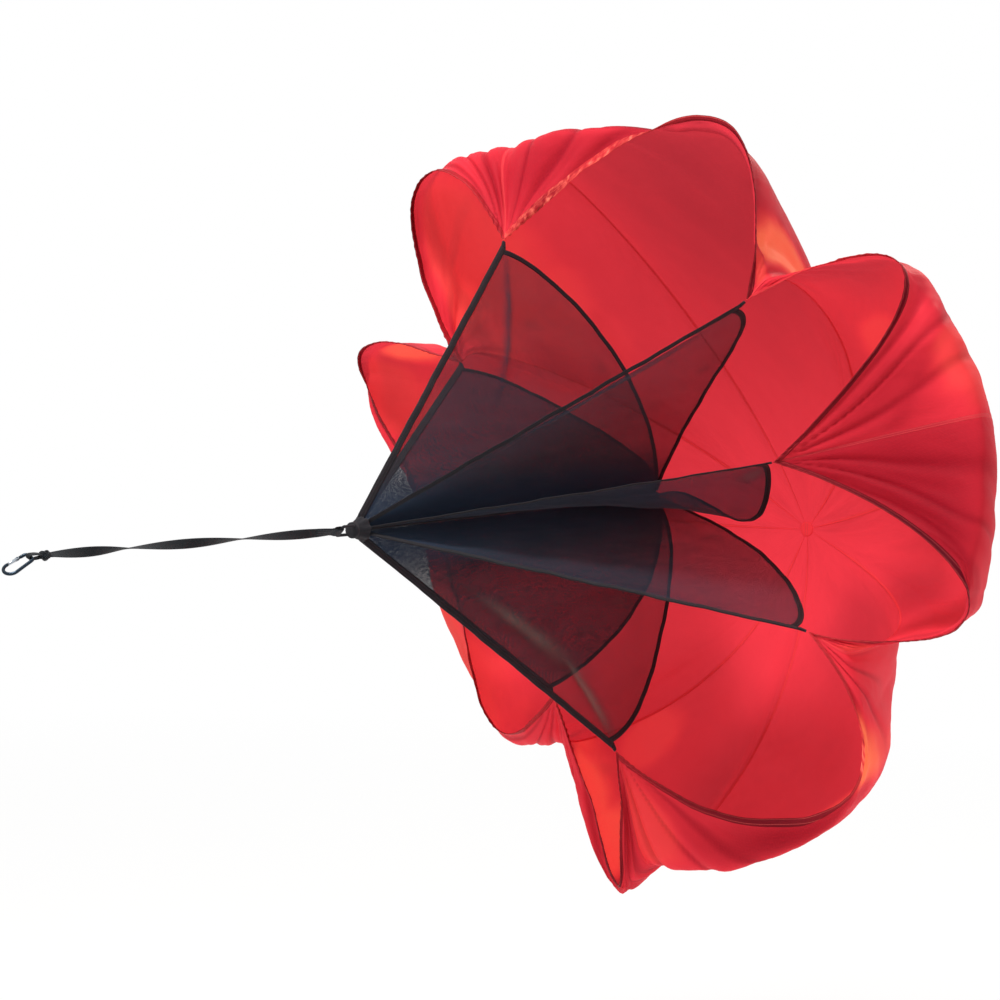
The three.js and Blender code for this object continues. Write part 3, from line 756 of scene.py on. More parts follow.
def shell(grid: Array, half: Array, uv: Array) -> Form:
    """A closed thin solid on both sides of a grid of points.

    Args:
        grid: Rows and columns of points, in mm.
        half: Half of the thickness at each point, row or column, in mm.
        uv: Metres across and along at each point.

    Returns:
        The form.
    """
    rows, cols = grid.shape[:2]
    normal = unit(np.cross(np.gradient(grid, axis=0), np.gradient(grid, axis=1)))
    half = np.broadcast_to(half, (rows, cols))[..., None]
    sides = [(grid + normal * half).reshape(-1, 3), (grid - normal * half).reshape(-1, 3)]
    n = rows * cols
    faces = grid_faces(rows, cols) + grid_faces(rows, cols, start=n, flip=True)
    edge = [i * cols for i in range(rows)]
    edge += [(rows - 1) * cols + j for j in range(1, cols)]
    edge += [i * cols + cols - 1 for i in range(rows - 2, -1, -1)]
    edge += range(cols - 2, 0, -1)
    for a, b in zip(edge, edge[1:] + edge[:1], strict=True):
        faces.append([a, b, b + n, a + n])
    return np.concatenate(sides), faces, np.concatenate([uv, uv])


def lens(cols: int, half: float, least: float) -> Array:
    """Half of a rounded tape's thickness at each column, thin at its two edges."""
    place = np.linspace(-1, 1, cols)
    return half * (least + (1 - least) * np.sqrt(np.clip(1 - place**4, 0, 1)))


def tube(rings: Array, uv: Array | None = None) -> Form:
    """A closed solid through rings of points, with both ends capped.

    Args:
        rings: A row of points for each ring, in mm.
        uv: Metres round and along at each point, or nothing for bare metal.

    Returns:
        The form.
    """
    count, sides = rings.shape[:2]
    faces = grid_faces(count, sides, closed=True)
    faces += [list(range(sides))[::-1], [(count - 1) * sides + j for j in range(sides)]]
    return rings.reshape(-1, 3), faces, np.zeros((count * sides, 2)) if uv is None else uv


def round_angles(sides: int) -> Array:
    """Angles of a full turn in equal steps."""
    return np.arange(sides) * math.tau / sides


def sweep(path: Array, radius: Array | float, sides: int, guide: Array) -> Form:
    """A round tube about a path.

    Args:
        path: Its points, in mm.
        radius: Its radius, in mm, the same or one for each point.
        sides: How many sides it has.
        guide: A way that isn't along the path, from which its sides are counted.

    Returns:
        The form.
    """
    along = unit(np.gradient(path, axis=0))
    side, last = np.empty_like(path), guide
    for i, way in enumerate(along):
        last = unit(last - way * (last @ way))
        side[i] = last
    up = np.cross(along, side)
    radius = np.broadcast_to(np.asarray(radius, float), (len(path),))
    angle = round_angles(sides)
    ring = side[:, None] * np.cos(angle)[:, None] + up[:, None] * np.sin(angle)[:, None]
    points = path[:, None] + ring * radius[:, None, None]
    return tube(points, metres(angle[None] * radius.mean(), lengths_along(path)[:, None]))


def revolve(profile: Sequence[tuple[float, float]], sides: int,
            fold: Callable[[Array, Array], Array] | None = None) -> Form:
    """A turned solid about the X axis.

    Args:
        profile: Its (x, radius) places from one end to the other, in mm.
        sides: How many sides it has.
        fold: Scales the radius, from the angle and the x of each point.

    Returns:
        The form.
    """
    line = np.asarray(profile, float)
    x, a = np.meshgrid(line[:, 0], round_angles(sides), indexing="ij")
    r = line[:, 1][:, None] * (fold(a, x) if fold else 1.0)
    rings = np.stack([x, r * np.cos(a), r * np.sin(a)], -1)
    return tube(rings, metres(a * line[:, 1].max(), lengths_along(line)[:, None]))


def ribbon(path: Array, widths: Array, width: Array | float, thick: Array | float,
           sides: int = 18) -> Form:
    """Flat webbing along a path, with rounded edges.

    Args:
        path: Its middle points, in mm.
        widths: The way of its width at each point.
        width: Its width in mm, the same or one for each point.
        thick: Its thickness in mm, the same or one for each point.
        sides: How many points its section has.

    Returns:
        The form.
    """
    along = unit(np.gradient(path, axis=0))
    widths = np.broadcast_to(widths, path.shape)
    widths = unit(widths - along * np.sum(widths * along, -1, keepdims=True))
    thicks = np.cross(along, widths)
    angle = round_angles(sides)
    # Powers under 1 square the section's corners
    flat = np.sign(np.cos(angle)) * np.abs(np.cos(angle)) ** 0.45
    deep = np.sign(np.sin(angle)) * np.abs(np.sin(angle)) ** 0.6
    w, t = (np.broadcast_to(np.asarray(size, float), (len(path),))[:, None] / 2 * shape[None]
            for size, shape in ((width, flat), (thick, deep)))
    rings = path[:, None] + widths[:, None] * w[..., None] + thicks[:, None] * t[..., None]
    return tube(rings, metres(w, lengths_along(path)[:, None]))


def merged(*parts: Form) -> Form:
    """Several forms as one.

    Args:
        parts: The forms.

    Returns:
        One form.
    """
    points, faces, uvs = [], [], []
    for p, f, uv in parts:
        start = sum(map(len, points))
        faces += [[i + start for i in face] for face in f]
        points.append(p)
        uvs.append(uv)
    return np.concatenate(points), faces, np.concatenate(uvs)


def smooth_path(points: Sequence[Array], step: float) -> Array:
    """A soft curve through points.

    Args:
        points: The points, in mm.
        step: About how far apart the curve's own points are, in mm.

    Returns:
        The curve's points.
    """
    p = np.asarray(points, float)
    p = np.concatenate([[2 * p[0] - p[1]], p, [2 * p[-1] - p[-2]]])
    out = []
    for a, b, c, d in zip(p, p[1:], p[2:], p[3:], strict=False):
        count = max(int(np.linalg.norm(c - b) / step), 1)
        s = (np.arange(count) / count)[:, None]
        out.append(0.5 * (2 * b + (c - a) * s + (2 * a - 5 * b + 4 * c - d) * s**2
                          + (3 * b - a - 3 * c + d) * s**3))
    return np.concatenate(out + [p[-2:-1]])


@dataclass(frozen=True)
class Corner:
    """One hem corner and the fin that holds it, as in the CAD source, in mm and degrees."""

    turn: float
    reach: float
    slack: float
    rim: float
    rim_back: float
    swell: float
    billow: float
    gather: float = 1.0

    @property
    def out(self) -> Array:
        """The way out from the pull axis to the corner."""
        return outward(self.turn)

    @property
    def tip(self) -> Array:
        """The corner's place."""
        return self.out * self.reach + X_WAY * math.sqrt(
            (FIN_LENGTH - self.slack) ** 2 - self.reach**2)


@dataclass(frozen=True)
class Lobe:
    """The canopy between one corner and the next, as in the CAD source, in mm."""

    start: tuple[float, float, float]
    end: tuple[float, float, float]
    rise: float
    puff: float


CORNERS = (
    Corner(-113, 506, 14, 692, 745, 130, 12, 1.7), Corner(-50, 473, 0, 526, 687, -85, -10, 1.0),
    Corner(-14, 349, 34, 733, 752, 15, 85, 1.5), Corner(24, 482, 0, 561, 679, 75, -12, 1.1),
    Corner(86, 451, 16, 669, 752, 130, 14, 1.5), Corner(112, 401, 5, 518, 841, 150, -10, 1.2),
    Corner(177, 454, 10, 492, 760, 130, 10, 1.2), Corner(214, 427, 10, 455, 758, 195, -12, 1.3),
)
LOBES = (
    Lobe((105, 105, -35), (600, 10, 45), 15, -16), Lobe((410, 70, -55), (465, -25, -35), 51, 0),
    Lobe((420, -10, -20), (480, 50, -15), 24, 0), Lobe((440, 7, 75), (290, 127, -40), 20, 26),
    Lobe((455, 30, 75), (300, 110, -110), 18, 26), Lobe((442, 102, 90), (32, 170, -40), 111, 76),
    Lobe((125, 147, -60), (495, -65, 10), 28, 4), Lobe((420, 30, 15), (300, -5, 30), 70, 10),
)


@dataclass
class Gore:
    """One gore's middle surface: u from seam to seam, t from the hem over the rim to the crown."""

    first: Corner
    last: Corner
    lobe: Lobe
    crown: Array
    spread: float
    bowl: float

    def __post_init__(self) -> None:
        """Works out the hem's handles."""
        middle = self.first.tip + self.last.tip
        middle[0] = 0
        middle = unit(middle)
        aside = np.cross(X_WAY, middle)
        if aside @ (self.last.tip - self.first.tip) < 0:
            aside = -aside
        out, back, spread = self.lobe.start
        self.start = self.first.tip + middle * out + X_WAY * back - aside * spread
        out, back, spread = self.lobe.end
        self.end = self.last.tip + middle * out + X_WAY * back + aside * spread

    def hem(self, u: Array) -> Array:
        """Points of the hem."""
        return bezier(self.first.tip, self.start, self.end, self.last.tip, u)

    def at(self, u: Array, t: Array) -> Array:
        """Points of the surface.

        Args:
            u: Places from the first seam, 0, to the last, 1.
            t: Places from the hem, 0, over the rim, 1, to the crown, 2.

        Returns:
            The points, in mm from the apex.
        """
        u, t = np.broadcast_arrays(np.asarray(u, float), np.asarray(t, float))
        edge = self.hem(u)
        swell = np.sin(np.pi * u)
        near = u < 0.5
        end_rim = np.where(near, self.first.rim, self.last.rim)
        end_back = np.where(near, self.first.rim_back, self.last.rim_back)
        full = float(np.linalg.norm(self.hem(np.array(0.5))[1:]))
        way = edge * np.array([0.0, 1.0, 1.0])
        reach_edge = np.linalg.norm(way, axis=-1)
        way = unit(way)
        reach = np.maximum(end_rim + (full - end_rim) * swell, reach_edge - 12)
        reach = reach + self.lobe.puff * swell
        back = end_back + (edge[..., 0] + self.lobe.rise - end_back) * swell
        rim = way * reach[..., None] + X_WAY * back[..., None]
        gap = np.linalg.norm(rim - edge, axis=-1)
        lead = np.minimum(gap / 2, (rim[..., 0] - edge[..., 0]) / 2 + 20)[..., None]
        skirt = bezier(edge, edge + (rim - edge) * 0.4, rim - X_WAY * lead, rim, np.clip(t, 0, 1))
        dome = bezier(rim, rim + X_WAY * self.bowl, self.crown + way * self.spread,
                      self.crown + 0 * way, np.clip(t - 1, 0, 1))
        return np.where((t <= 1)[..., None], skirt, dome)


@dataclass(frozen=True)
class Spot:
    """An oval place on a gore, about u and t, with its half sizes across and along.

    As a mark it paints sunlight on the cloth, or painted shade where its strength is under 0. As a
    push it draws the cloth in by its strength in mm, or out where that is under 0.
    """

    gore: int
    u: float
    t: float
    across: float
    along: float
    strength: float

    def offsets(self, u: Array, t: Array) -> tuple[Array, Array]:
        """How far places are from its middle across and along, in half sizes."""
        return (u - self.u) / self.across, (t - self.t) / self.along


def on_gore(spots: Sequence[Spot], index: int) -> list[Spot]:
    """The spots that lie on one gore."""
    return [spot for spot in spots if spot.gore == index]


# Marks on the gores, painted sunlight and painted shade: each row holds what a Spot takes, in its
# order
PAINTED_SUN_SPOTS = (
    (7, 0.28, 1.0, 0.36, 0.62, 0.5), (6, 0.77, 1.12, 0.15, 0.14, 0.95),
    (6, 0.44, 1.04, 0.26, 0.3, 0.5), (5, 0.5, 0.6, 0.3, 0.7, 0.5), (4, 0.86, 0.98, 0.2, 0.22, 0.95),
    (4, 0.94, 1.34, 0.09, 0.16, 0.42), (4, 0.74, 1.04, 0.17, 0.22, 1),
    (3, 0.56, 1.24, 0.12, 0.08, 0.7), (1, 0.17, 1.44, 0.11, 0.1, 0.5),
    (1, 0.88, 1.0, 0.14, 0.4, 0.44), (3, 0.26, 0.5, 0.13, 0.85, 0.95),
    (3, 0.96, 0.5, 0.1, 0.5, 0.42), (0, 0.93, 1.16, 0.06, 0.28, 0.95),
    (0, 0.97, 0.6, 0.05, 0.4, 0.5), (2, 0.97, 0.72, 0.06, 0.34, 0.42),
    (0, 0.2, 0, 0.36, 0.03, 0.66),
)
# Painted shade on the gores; the rows at t 0 paint shade along the hems
PAINTED_SHADE_SPOTS = (
    (0, 0.44, 1.16, 0.46, 0.5, -0.86), (0, 0.76, 0.82, 0.2, 0.3, -0.7),
    (0, 0.16, 0.44, 0.3, 0.6, -0.56), (7, 0.96, 0.44, 0.14, 0.5, -0.52),
    (3, 0.62, 0.5, 0.26, 0.46, -0.76), (4, 0.45, 1.45, 0.34, 0.2, -0.4),
    (4, 0.06, 0.5, 0.14, 0.4, -0.3), (1, 0.92, 0.36, 0.22, 0.4, -0.5),
    (2, 0.18, 0.36, 0.48, 0.8, -0.82), (1, 0.18, 1.04, 0.2, 0.26, -0.8),
    (3, 0.45, 1.76, 0.45, 0.14, -0.5), (2, 0.84, 1.6, 0.3, 0.24, -0.5),
    (0, 0.86, 0, 0.36, 0.03, -0.9), (1, 0.7, 0, 0.5, 0.03, -1), (2, 0.36, 0, 0.62, 0.03, -1),
    (3, 0.7, 0, 0.44, 0.03, -0.8), (4, 0.4, 0, 0.6, 0.03, -0.85), (6, 0.5, 0, 0.6, 0.03, -0.7),
    (7, 0.4, 0, 0.5, 0.03, -0.85), (5, 0.5, 0, 0.6, 0.03, -0.7),
)
MARKS = tuple(Spot(*row) for row in PAINTED_SUN_SPOTS + PAINTED_SHADE_SPOTS)
PUSHES = (
    Spot(0, 0.80, 1.28, 0.13, 0.24, 15), Spot(3, 0.24, 1.36, 0.14, 0.22, 16),
    Spot(5, 0.16, 0.66, 0.14, 0.40, -15), Spot(7, 0.36, 0.30, 0.20, 0.50, -7),
)


@dataclass
class Canopy:
    """Eight gores as one sheet, with hems, felled seams and crown patch."""

    crown: tuple[float, float, float] = (1180.0, -90.0, -85.0)
    spread: float = 360.0
    bowl: float = 120.0
    columns: int = 104
    rows: int = 120
    skirt_share: float = 0.33
    dome_share: float = 0.996
    hem_width: float = 14.0
    hem_half: float = 0.9
    seam_half: float = 3.4
    seam_thick: float = 1.1
    seam_columns: int = 9
    patch_radius: float = 14.7
    sewn_flat: float = 6.0
    drawn_flat: float = 55.0
    lumps: float = 4.2
    lump_size: float = 220.0
    ripples: float = 1.5
    ripple_size: float = 85.0
    crumples: float = 0.4
    crumple_size: float = 26.0
    puckers: float = 1.1
    pucker_wave: float = 31.0
    pucker_reach: float = 14.0
    pleats: float = 4.2
    gathers: float = 1.0
    gather_wave: float = 15.0
    gather_reach: float = 26.0

    def __post_init__(self) -> None:
        """Works out each gore's wrinkled grid of points."""
        self.grids, self.uvs, self.marks = [], [], []
        for i, (corner, lobe) in enumerate(zip(CORNERS, LOBES, strict=True)):
            last = CORNERS[(i + 1) % len(CORNERS)]
            self.lay_out(i, Gore(corner, last, lobe, np.array(self.crown), self.spread, self.bowl))

    def row_places(self, gore: Gore, u: Array) -> Array:
        """Lays out the rows: at stated distances in the hem, then in even steps.

        Args:
            gore: The gore.
            u: Its columns' places.

        Returns:
            t at each row and column.
        """
        length = lengths_along(gore.at(u[None], np.linspace(0, 1, 9)[:, None]))[-1]
        hem = np.array([0, 4.6, 9.4, self.hem_width, self.hem_width + 5])[:, None]
        first = np.minimum(hem / length[None], np.array([0, 0.09, 0.19, 0.28, 0.36])[:, None])
        share = np.linspace(0, 1, self.rows - 4)[1:, None]
        turn, start = self.skirt_share, first[-1][None]
        low = start + (1 - start) * (share / turn)
        high = 1 + self.dome_share * (share - turn) / (1 - turn)
        return np.concatenate([first, np.where(share < turn, low, high)])

    def lay_out(self, index: int, gore: Gore) -> None:
        """Adds one gore's grid with its wrinkles, its cloth coordinates and its marks of painted
        light and shade.

        Args:
            index: Which gore it is, from 0.
            gore: Its smooth surface.
        """
        x = np.linspace(0, 1, self.columns + 1)
        u = x - 0.085 * np.sin(math.tau * x)  # closer columns beside the seams
        t = self.row_places(gore, u)
        grid = gore.at(np.broadcast_to(u, t.shape), t)
        across, along = lengths_along(grid, 1), lengths_along(grid)
        from_first, from_last = across, across[:, -1:] - across
        free = 1 - np.exp(-(np.minimum(from_first, from_last) / self.sewn_flat) ** 2)
        tall, sharp = self.folds(index, gore, grid, (from_first, from_last), along,
                                 1 - ease(t, 1.0, 1.3))
        for push in on_gore(PUSHES, index):
            a, b = push.offsets(u[None], t)
            tall = tall + push.strength * np.exp(-a**2 - b**2)
        normal = unit(np.cross(np.gradient(grid, axis=0), np.gradient(grid, axis=1)))
        normal[:, 0], normal[:, -1] = normal[:, 1], normal[:, -2]
        closing = 1 - ease(t, 1.9, 1 + self.dome_share)
        self.grids.append(grid + normal * (tall * free * closing)[..., None])
        self.uvs.append(metres(across - across[:, -1:] / 2, along))
        # Painted sunlight on the sunlit spots and painted shade on the shaded ones
        glow, dim = np.zeros_like(t), np.zeros_like(t)
        wander = ripple(across, along, 130, 50 + index)
        for mark in on_gore(MARKS, index):
            far = np.hypot(*mark.offsets(u[None], t))
            if mark.strength > 0:
                lit = 1 - ease(far + 0.10 * wander, 0.5, 1.12)
                glow = np.maximum(glow, mark.strength * lit)
            else:
                # Painted shade, strongest at the spot's middle
                dull = 1 - ease(far + 0.05 * wander, 0.1, 1.3)
                dim = np.maximum(dim, -mark.strength * dull)
        # crease paints shade in the pleats' folds
        self.marks.append({"crease": sharp * free, "sunlit": glow, "dim": dim})

    def folds(self, index: int, gore: Gore, grid: Array, nears: tuple[Array, Array], along: Array,
              skirt: Array) -> tuple[Array, Array]:
        """How far the wrinkles stand in from a gore's smooth surface.

        Args:
            index: Which gore it is, from 0.
            gore: Its smooth surface.
            grid: Its points, in mm.
            nears: Distances from its first and its last seam, in mm.
            along: Distances from its hem, in mm.
            skirt: 1 before the rim, where the corners draw the cloth, and 0 in the dome.

        Returns:
            The height at each point, in mm, and how sharply it is creased, from 0 to 1.
        """
        seed, first = 11 * index, nears[0]
        inside = 1 - np.exp(-(np.minimum(*nears) / self.drawn_flat) ** 2)
        drift = ripple(first, along, self.lump_size, seed + 1, 2)
        tall, sharp = self.lumps * drift * inside, np.zeros_like(along)
        long = ripple(first, along * 0.28, self.ripple_size, seed + 2, 2)
        tall += self.ripples * long * inside
        tall += self.crumples * ripple(first, along, self.crumple_size, seed + 3, 2)
        for side, (near, corner) in enumerate(zip(nears, (gore.first, gore.last), strict=True)):
            # Puckers beside the seam
            wave = self.pucker_wave + 7 * math.sin(2.3 * index + side)
            shift = ripple(near * 0, along, 140, seed + 5 + side)
            pucker = np.sin(math.tau * along / wave + 2.2 * shift)
            held = np.exp(-near / self.pucker_reach) * ease(along, 20, 90)
            tall += self.puckers * pucker * held
            # Pleats that fan out from the hem's corner
            far = np.linalg.norm(grid - corner.tip, axis=-1)
            angle = np.arctan2(along, near)
            swing = angle + 0.11 * ripple(far * 0.25, angle * 160, 120, seed + 7 + side, 2)
            reach = 80 + 50 * corner.gather
            drawn = corner.gather * (far / reach) * np.exp(1 - far / reach) * skirt
            for count, share in ((6.0, 1.0), (11.0, 0.35)):
                turn = np.sqrt(np.sin(count * swing + 1.3 * side + index) ** 2 + 0.012)
                tall -= self.pleats * share * drawn * (turn - 0.64)
                # Where the pleats fold in, their sharpness is kept to paint shade there
                if share == 1.0:
                    sharp = np.maximum(sharp, np.clip(drawn, 0, 1) * (1 - ease(turn, 0.1, 0.7)))
            # Small gathers on the hem
            wave = self.gather_wave + 3 * math.sin(index + side)
            gather = np.sin(math.tau * near / wave + 1.5 * drift)
            tall += (self.gathers * gather * np.exp(-along / self.gather_reach)
                     * (0.15 + corner.gather * np.exp(-far / 150)))
        return tall, sharp

    def beside_seam(self, index: int, offsets: Array) -> Array:
        """Rows of points across one seam, on the wrinkled sheet.

        Args:
            index: The gore that the seam begins.
            offsets: Distances from the seam, in mm.

        Returns:
            The points, in mm.
        """
        near, rows = 12, []
        for lines in zip(self.grids[index], self.grids[index - 1][:, ::-1], strict=True):
            row = []
            for offset in offsets:
                line = lines[0 if offset >= 0 else 1][:near]
                gone = lengths_along(line)
                place = min(abs(offset), gone[-1] * 0.45)
                row.append([np.interp(place, gone, line[:, k]) for k in range(3)])
            rows.append(row)
        return np.array(rows)

    def sheet(self) -> bpy.types.Object:
        """The cloth of all eight gores as one mesh, welded along the seams.

        Returns:
            The piece.
        """
        numbers = range(1, len(CORNERS) + 1)
        rows, cols = self.grids[0].shape[:2]
        faces = [face for i in range(len(CORNERS))
                 for face in grid_faces(rows, cols, start=i * rows * cols)]
        points = np.concatenate([grid.reshape(-1, 3) for grid in self.grids])
        marks = {key: np.concatenate([m[key].ravel() for m in self.marks]) for key in self.marks[0]}
        form = points, faces, np.concatenate(self.uvs)
        made = make_piece("canopy_sheet", flown(form), CANOPY_RED, marks=marks)
        cloth = bmesh.new()
        cloth.from_mesh(made.data)
        bmesh.ops.remove_doubles(cloth, verts=cloth.verts, dist=2e-6)
        cloth.to_mesh(made.data)
        cloth.free()
        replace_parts(made, *[f"canopy_gore_{i}" for i in numbers])
        return made

    def hem(self, index: int) -> bpy.types.Object:
        """One gore's folded and sewn hem.

        Args:
            index: Which gore it is on, from 0.

        Returns:
            The piece.
        """
        grid = self.grids[index][:4]
        uv = metres(lengths_along(grid) - self.hem_width / 2, lengths_along(grid, 1))
        # The hem carries the painted light and shade of the gore's first row
        marks = {key: np.tile(value[0], 2 * len(grid)) for key, value in self.marks[index].items()}
        form = shell(grid, lens(len(grid), self.hem_half, 0.45)[:, None], uv)
        return make_piece(f"canopy_hem_{index + 1}", flown(form), HEM_RED, marks=marks)

    def seam(self, index: int) -> bpy.types.Object:
        """One felled seam between two gores.

        Args:
            index: The gore that it begins, from 0.

        Returns:
            The piece.
        """
        count = self.seam_columns
        offsets = np.linspace(-1, 1, count) * self.seam_half
        rows = self.beside_seam(index, offsets)
        # The seam carries the painted sunlight and shade of its gore's first column
        marks = {key: np.tile(np.repeat(self.marks[index][key][:, 0], count), 2)
                 for key in ("sunlit", "dim")}
        form = shell(rows, lens(count, self.seam_thick / 2, 0.4)[None],
                     metres(offsets, lengths_along(rows)))
        return dress(f"canopy_seam_{index + 1}", flown(form), SEAM_RED, marks=marks)

    def patch(self) -> bpy.types.Object:
        """The small gathered patch that closes the crown.

        Returns:
            The piece.
        """
        r = self.patch_radius
        rim = [(-1.5, 0.3), (-1.5, r * 0.5), (-1.4, r * 0.8), (-1.0, r * 0.96)]
        profile = rim + [(0, r)] + [(-x, y) for x, y in rim[::-1]]
        points, faces, _ = revolve(profile, 64, lambda a, x: 1 - 0.025 * (1 + np.cos(16 * a)))
        form = points + np.array(self.crown), faces, points[:, 1:] * MM
        return dress("crown_patch", flown(form), SEAM_RED)

    def build(self) -> None:
        """Makes all of the canopy's pieces."""
        self.sewn = [make(i) for make in (self.hem, self.seam) for i in range(len(CORNERS))]
        self.sewn.append(self.patch())
        note(*self.sewn, self.sheet())


@dataclass(frozen=True)
class Crease:
    """A fold line on a net fin, between two places (along, out) of its surface.

    It is painted lighter as a highlight and its yarns are thicker, or where its strength is under 0
    the net is bunched there.
    """

    start: tuple[float, float]
    end: tuple[float, float]
    width: float
    strength: float

    def line(self, along: Array, out: Array) -> Array:
        """How strongly the fold shows.

        Args:
            along: Places from the front to the rear edge.
            out: Places from the axis outwards.

        Returns:
            1 on the fold, falling to 0 beside it and at its two ends.
        """
        a, b = np.array(self.start), np.array(self.end)
        here = np.stack(np.broadcast_arrays(along, out), -1)
        t = np.clip(((here - a) @ (b - a)) / ((b - a) @ (b - a)), 0, 1)
        away = np.linalg.norm((here - a - t[..., None] * (b - a)), axis=-1)
        return np.exp(-(away / self.width) ** 2) * np.sin(np.pi * np.clip(t, 0.04, 0.96)) ** 0.5


@dataclass
class NetFin:
    """One net fin between the pull axis and a hem corner, with its bindings and tab."""

    index: int
    corner: Corner
    creases: tuple[Crease, ...] = ()
    density: float = 0.0
    binding: float = 12.0
    rear_binding: float = 10.0
    binding_shown: float = 12.6
    rear_shown: float = 11.0
    binding_half: float = 1.5
    tab_length: float = 15.0
    tab_width: float = 11.0
    tab_thick: float = 4.0
    fan: float = 12.0
    tip_handle: tuple[float, float] = (144.0, 32.0)
    axis_handle: float = 127.0
    spine: float = 3.9
    gathered_within: tuple[float, float] = (30.0, 140.0)
    sag: float = 3.4
    sag_size: float = 170.0
    crumples: float = 1.2
    crumple_size: float = 60.0
    crease_height: float = 5.0

    def __post_init__(self) -> None:
        """Works out the fin's own directions."""
        out = self.corner.out
        self.number = self.index + 1
        self.apex_edge = out * self.fan
        self.along = unit(self.corner.tip - self.apex_edge)
        self.normal = np.cross(X_WAY, out)
        inward = np.cross(self.normal, self.along)
        self.inward = -inward if inward @ out > 0 else inward
        whole = float(np.linalg.norm(self.corner.tip - self.apex_edge))
        self.edge_length = whole - self.tab_length

    def from_collar(self, inset: Array) -> Array:
        """Where a line at an inset from the outer edge leaves the collar's rear face."""
        return (COLLAR_BACK + CLEAR - np.asarray(inset, float) * self.inward[0]) / self.along[0]

    def edge(self, distance: Array, inset: Array) -> Array:
        """Points beside the long outer edge.

        Args:
            distance: Distances along it, in mm.
            inset: Distances from it, in mm.

        Returns:
            The points, in mm.
        """
        distance = np.asarray(distance, float)[..., None]
        inset = np.asarray(inset, float)[..., None]
        return self.apex_edge + self.along * distance + self.inward * inset

    def surface(self, s: Array, r: Array) -> Array:
        """Points of the net.

        Args:
            s: Places from the front, 0, to the rear edge, 1.
            r: Places from the axis, 0, to the outer edge, 1.

        Returns:
            The points, in mm.
        """
        s, r = np.broadcast_arrays(np.asarray(s, float), np.asarray(r, float))
        out, inset = self.corner.out, self.binding + CLEAR
        tip = self.edge(self.edge_length, inset)
        front, rear = (out * self.spine + X_WAY * x for x in (COLLAR_BACK + CLEAR, NET_MIDDLE))
        outer = self.edge(self.from_collar(inset), inset)
        ahead, inwards = self.tip_handle
        edge = bezier(tip, tip + X_WAY * ahead - out * inwards,
                      out * self.axis_handle + X_WAY * (NET_MIDDLE + self.corner.swell), rear,
                      1 - r)
        start = front + (outer - front) * r[..., None]
        belly = np.sin(np.pi * np.clip((r - 0.06) / 0.88, 0, 1)) ** 2
        bow = self.corner.billow * belly * np.clip(s, 0, None) ** 3
        return start + (edge - start) * s[..., None] + self.normal * bow[..., None]

    def short_of_rear(self, r: Array, distance: float) -> Array:
        """Places at a distance from the rear edge, square to it.

        Args:
            r: Places from the axis outwards.
            distance: The distance, in mm.

        Returns:
            The s of each place.
        """
        line = self.surface(1, r) - self.surface(0, r)
        near = np.minimum(r, 0.998)
        edge = unit(self.surface(1, near + 0.002) - self.surface(1, near))
        return 1 - distance / np.linalg.norm(np.cross(edge, line), axis=-1)

    def net(self) -> bpy.types.Object:
        """The net, with its soft folds.

        Returns:
            The piece.
        """
        name = f"net_fin_{self.number}"
        r, share = np.linspace(0, 1, 56), np.linspace(0, 1, 64)[:, None]
        grid = self.surface(share * self.short_of_rear(r, self.rear_binding * 0.5)[None], r[None])
        across, along = lengths_along(grid, 1), lengths_along(grid)
        held = (np.sin(np.pi * np.clip(r, 0, 1)) ** 0.7 * ease(share, 0, 0.25)
                * (1 - ease(share, 0.93, 1.0)))
        seed = 100 + 7 * self.index
        loose = ripple(across * 1.6, along * 0.7, self.sag_size, seed, 2)
        fine = ripple(across * 2.0, along * 0.5, self.crumple_size, seed + 1, 2)
        tall = (self.sag * loose + self.crumples * fine) * held
        crease, packed = np.zeros_like(tall), np.zeros_like(tall)
        for fold in self.creases:
            line = fold.line(share, r)
            crease = np.maximum(crease, fold.strength * line)
            packed = np.maximum(packed, -fold.strength * line)
            tall = tall + self.crease_height * line * abs(fold.strength)
        # Where the net stands far from its plane, its folds get a painted highlight
        crease = np.maximum(crease, 0.3 * ease(np.abs(tall), 2.2, 4.2))
        grid = grid + self.normal * tall[..., None]
        gathered = 1 - ease(np.linalg.norm(grid[..., 1:], axis=-1), *self.gathered_within)
        gathered = np.maximum(gathered + self.density * (1 - gathered), packed)
        form = grid.reshape(-1, 3), grid_faces(*grid.shape[:2]), metres(across, along)
        made = make_piece(name, flown(form), NET_NAVY,
                          marks={"crease": crease, "gathered": gathered})
        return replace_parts(made, name)

    def tape(self, side: str, rows: Array, share: Array, sway: Array) -> bpy.types.Object:
        """A folded tape over an edge.

        Args:
            side: Which edge it is on.
            rows: Rows of points across it, in mm.
            share: The share of its length at each row.
            sway: How far it leans from the fin's plane, in mm, at each point or row.

        Returns:
            The piece.
        """
        rows = rows + self.normal * (np.sin(np.pi * share) * sway)[..., None]
        across, along = lengths_along(rows, 1), lengths_along(rows)
        thick = self.binding_half * (1 + 0.06 * np.sin(along / 9 + self.index))
        form = shell(rows, thick * lens(rows.shape[1], 1.0, 0.3)[None],
                     metres(across - across[:, -1:] / 2, along))
        return dress(f"net_{side}_binding_{self.number}", flown(form), TAPE_BLACK)

    def edge_binding(self) -> bpy.types.Object:
        """The tape on the long outer edge.

        Returns:
            The piece.
        """
        share, insets = np.linspace(0, 1, 90)[:, None], np.linspace(0, self.binding_shown, 9)[None]
        start = self.from_collar(insets)
        d = start + share * (self.edge_length - start)
        sway = 0.9 * np.sin(d / 23 + self.index) + 0.5 * np.sin(d / 9.1)
        return self.tape("edge", self.edge(d, insets), share, sway)

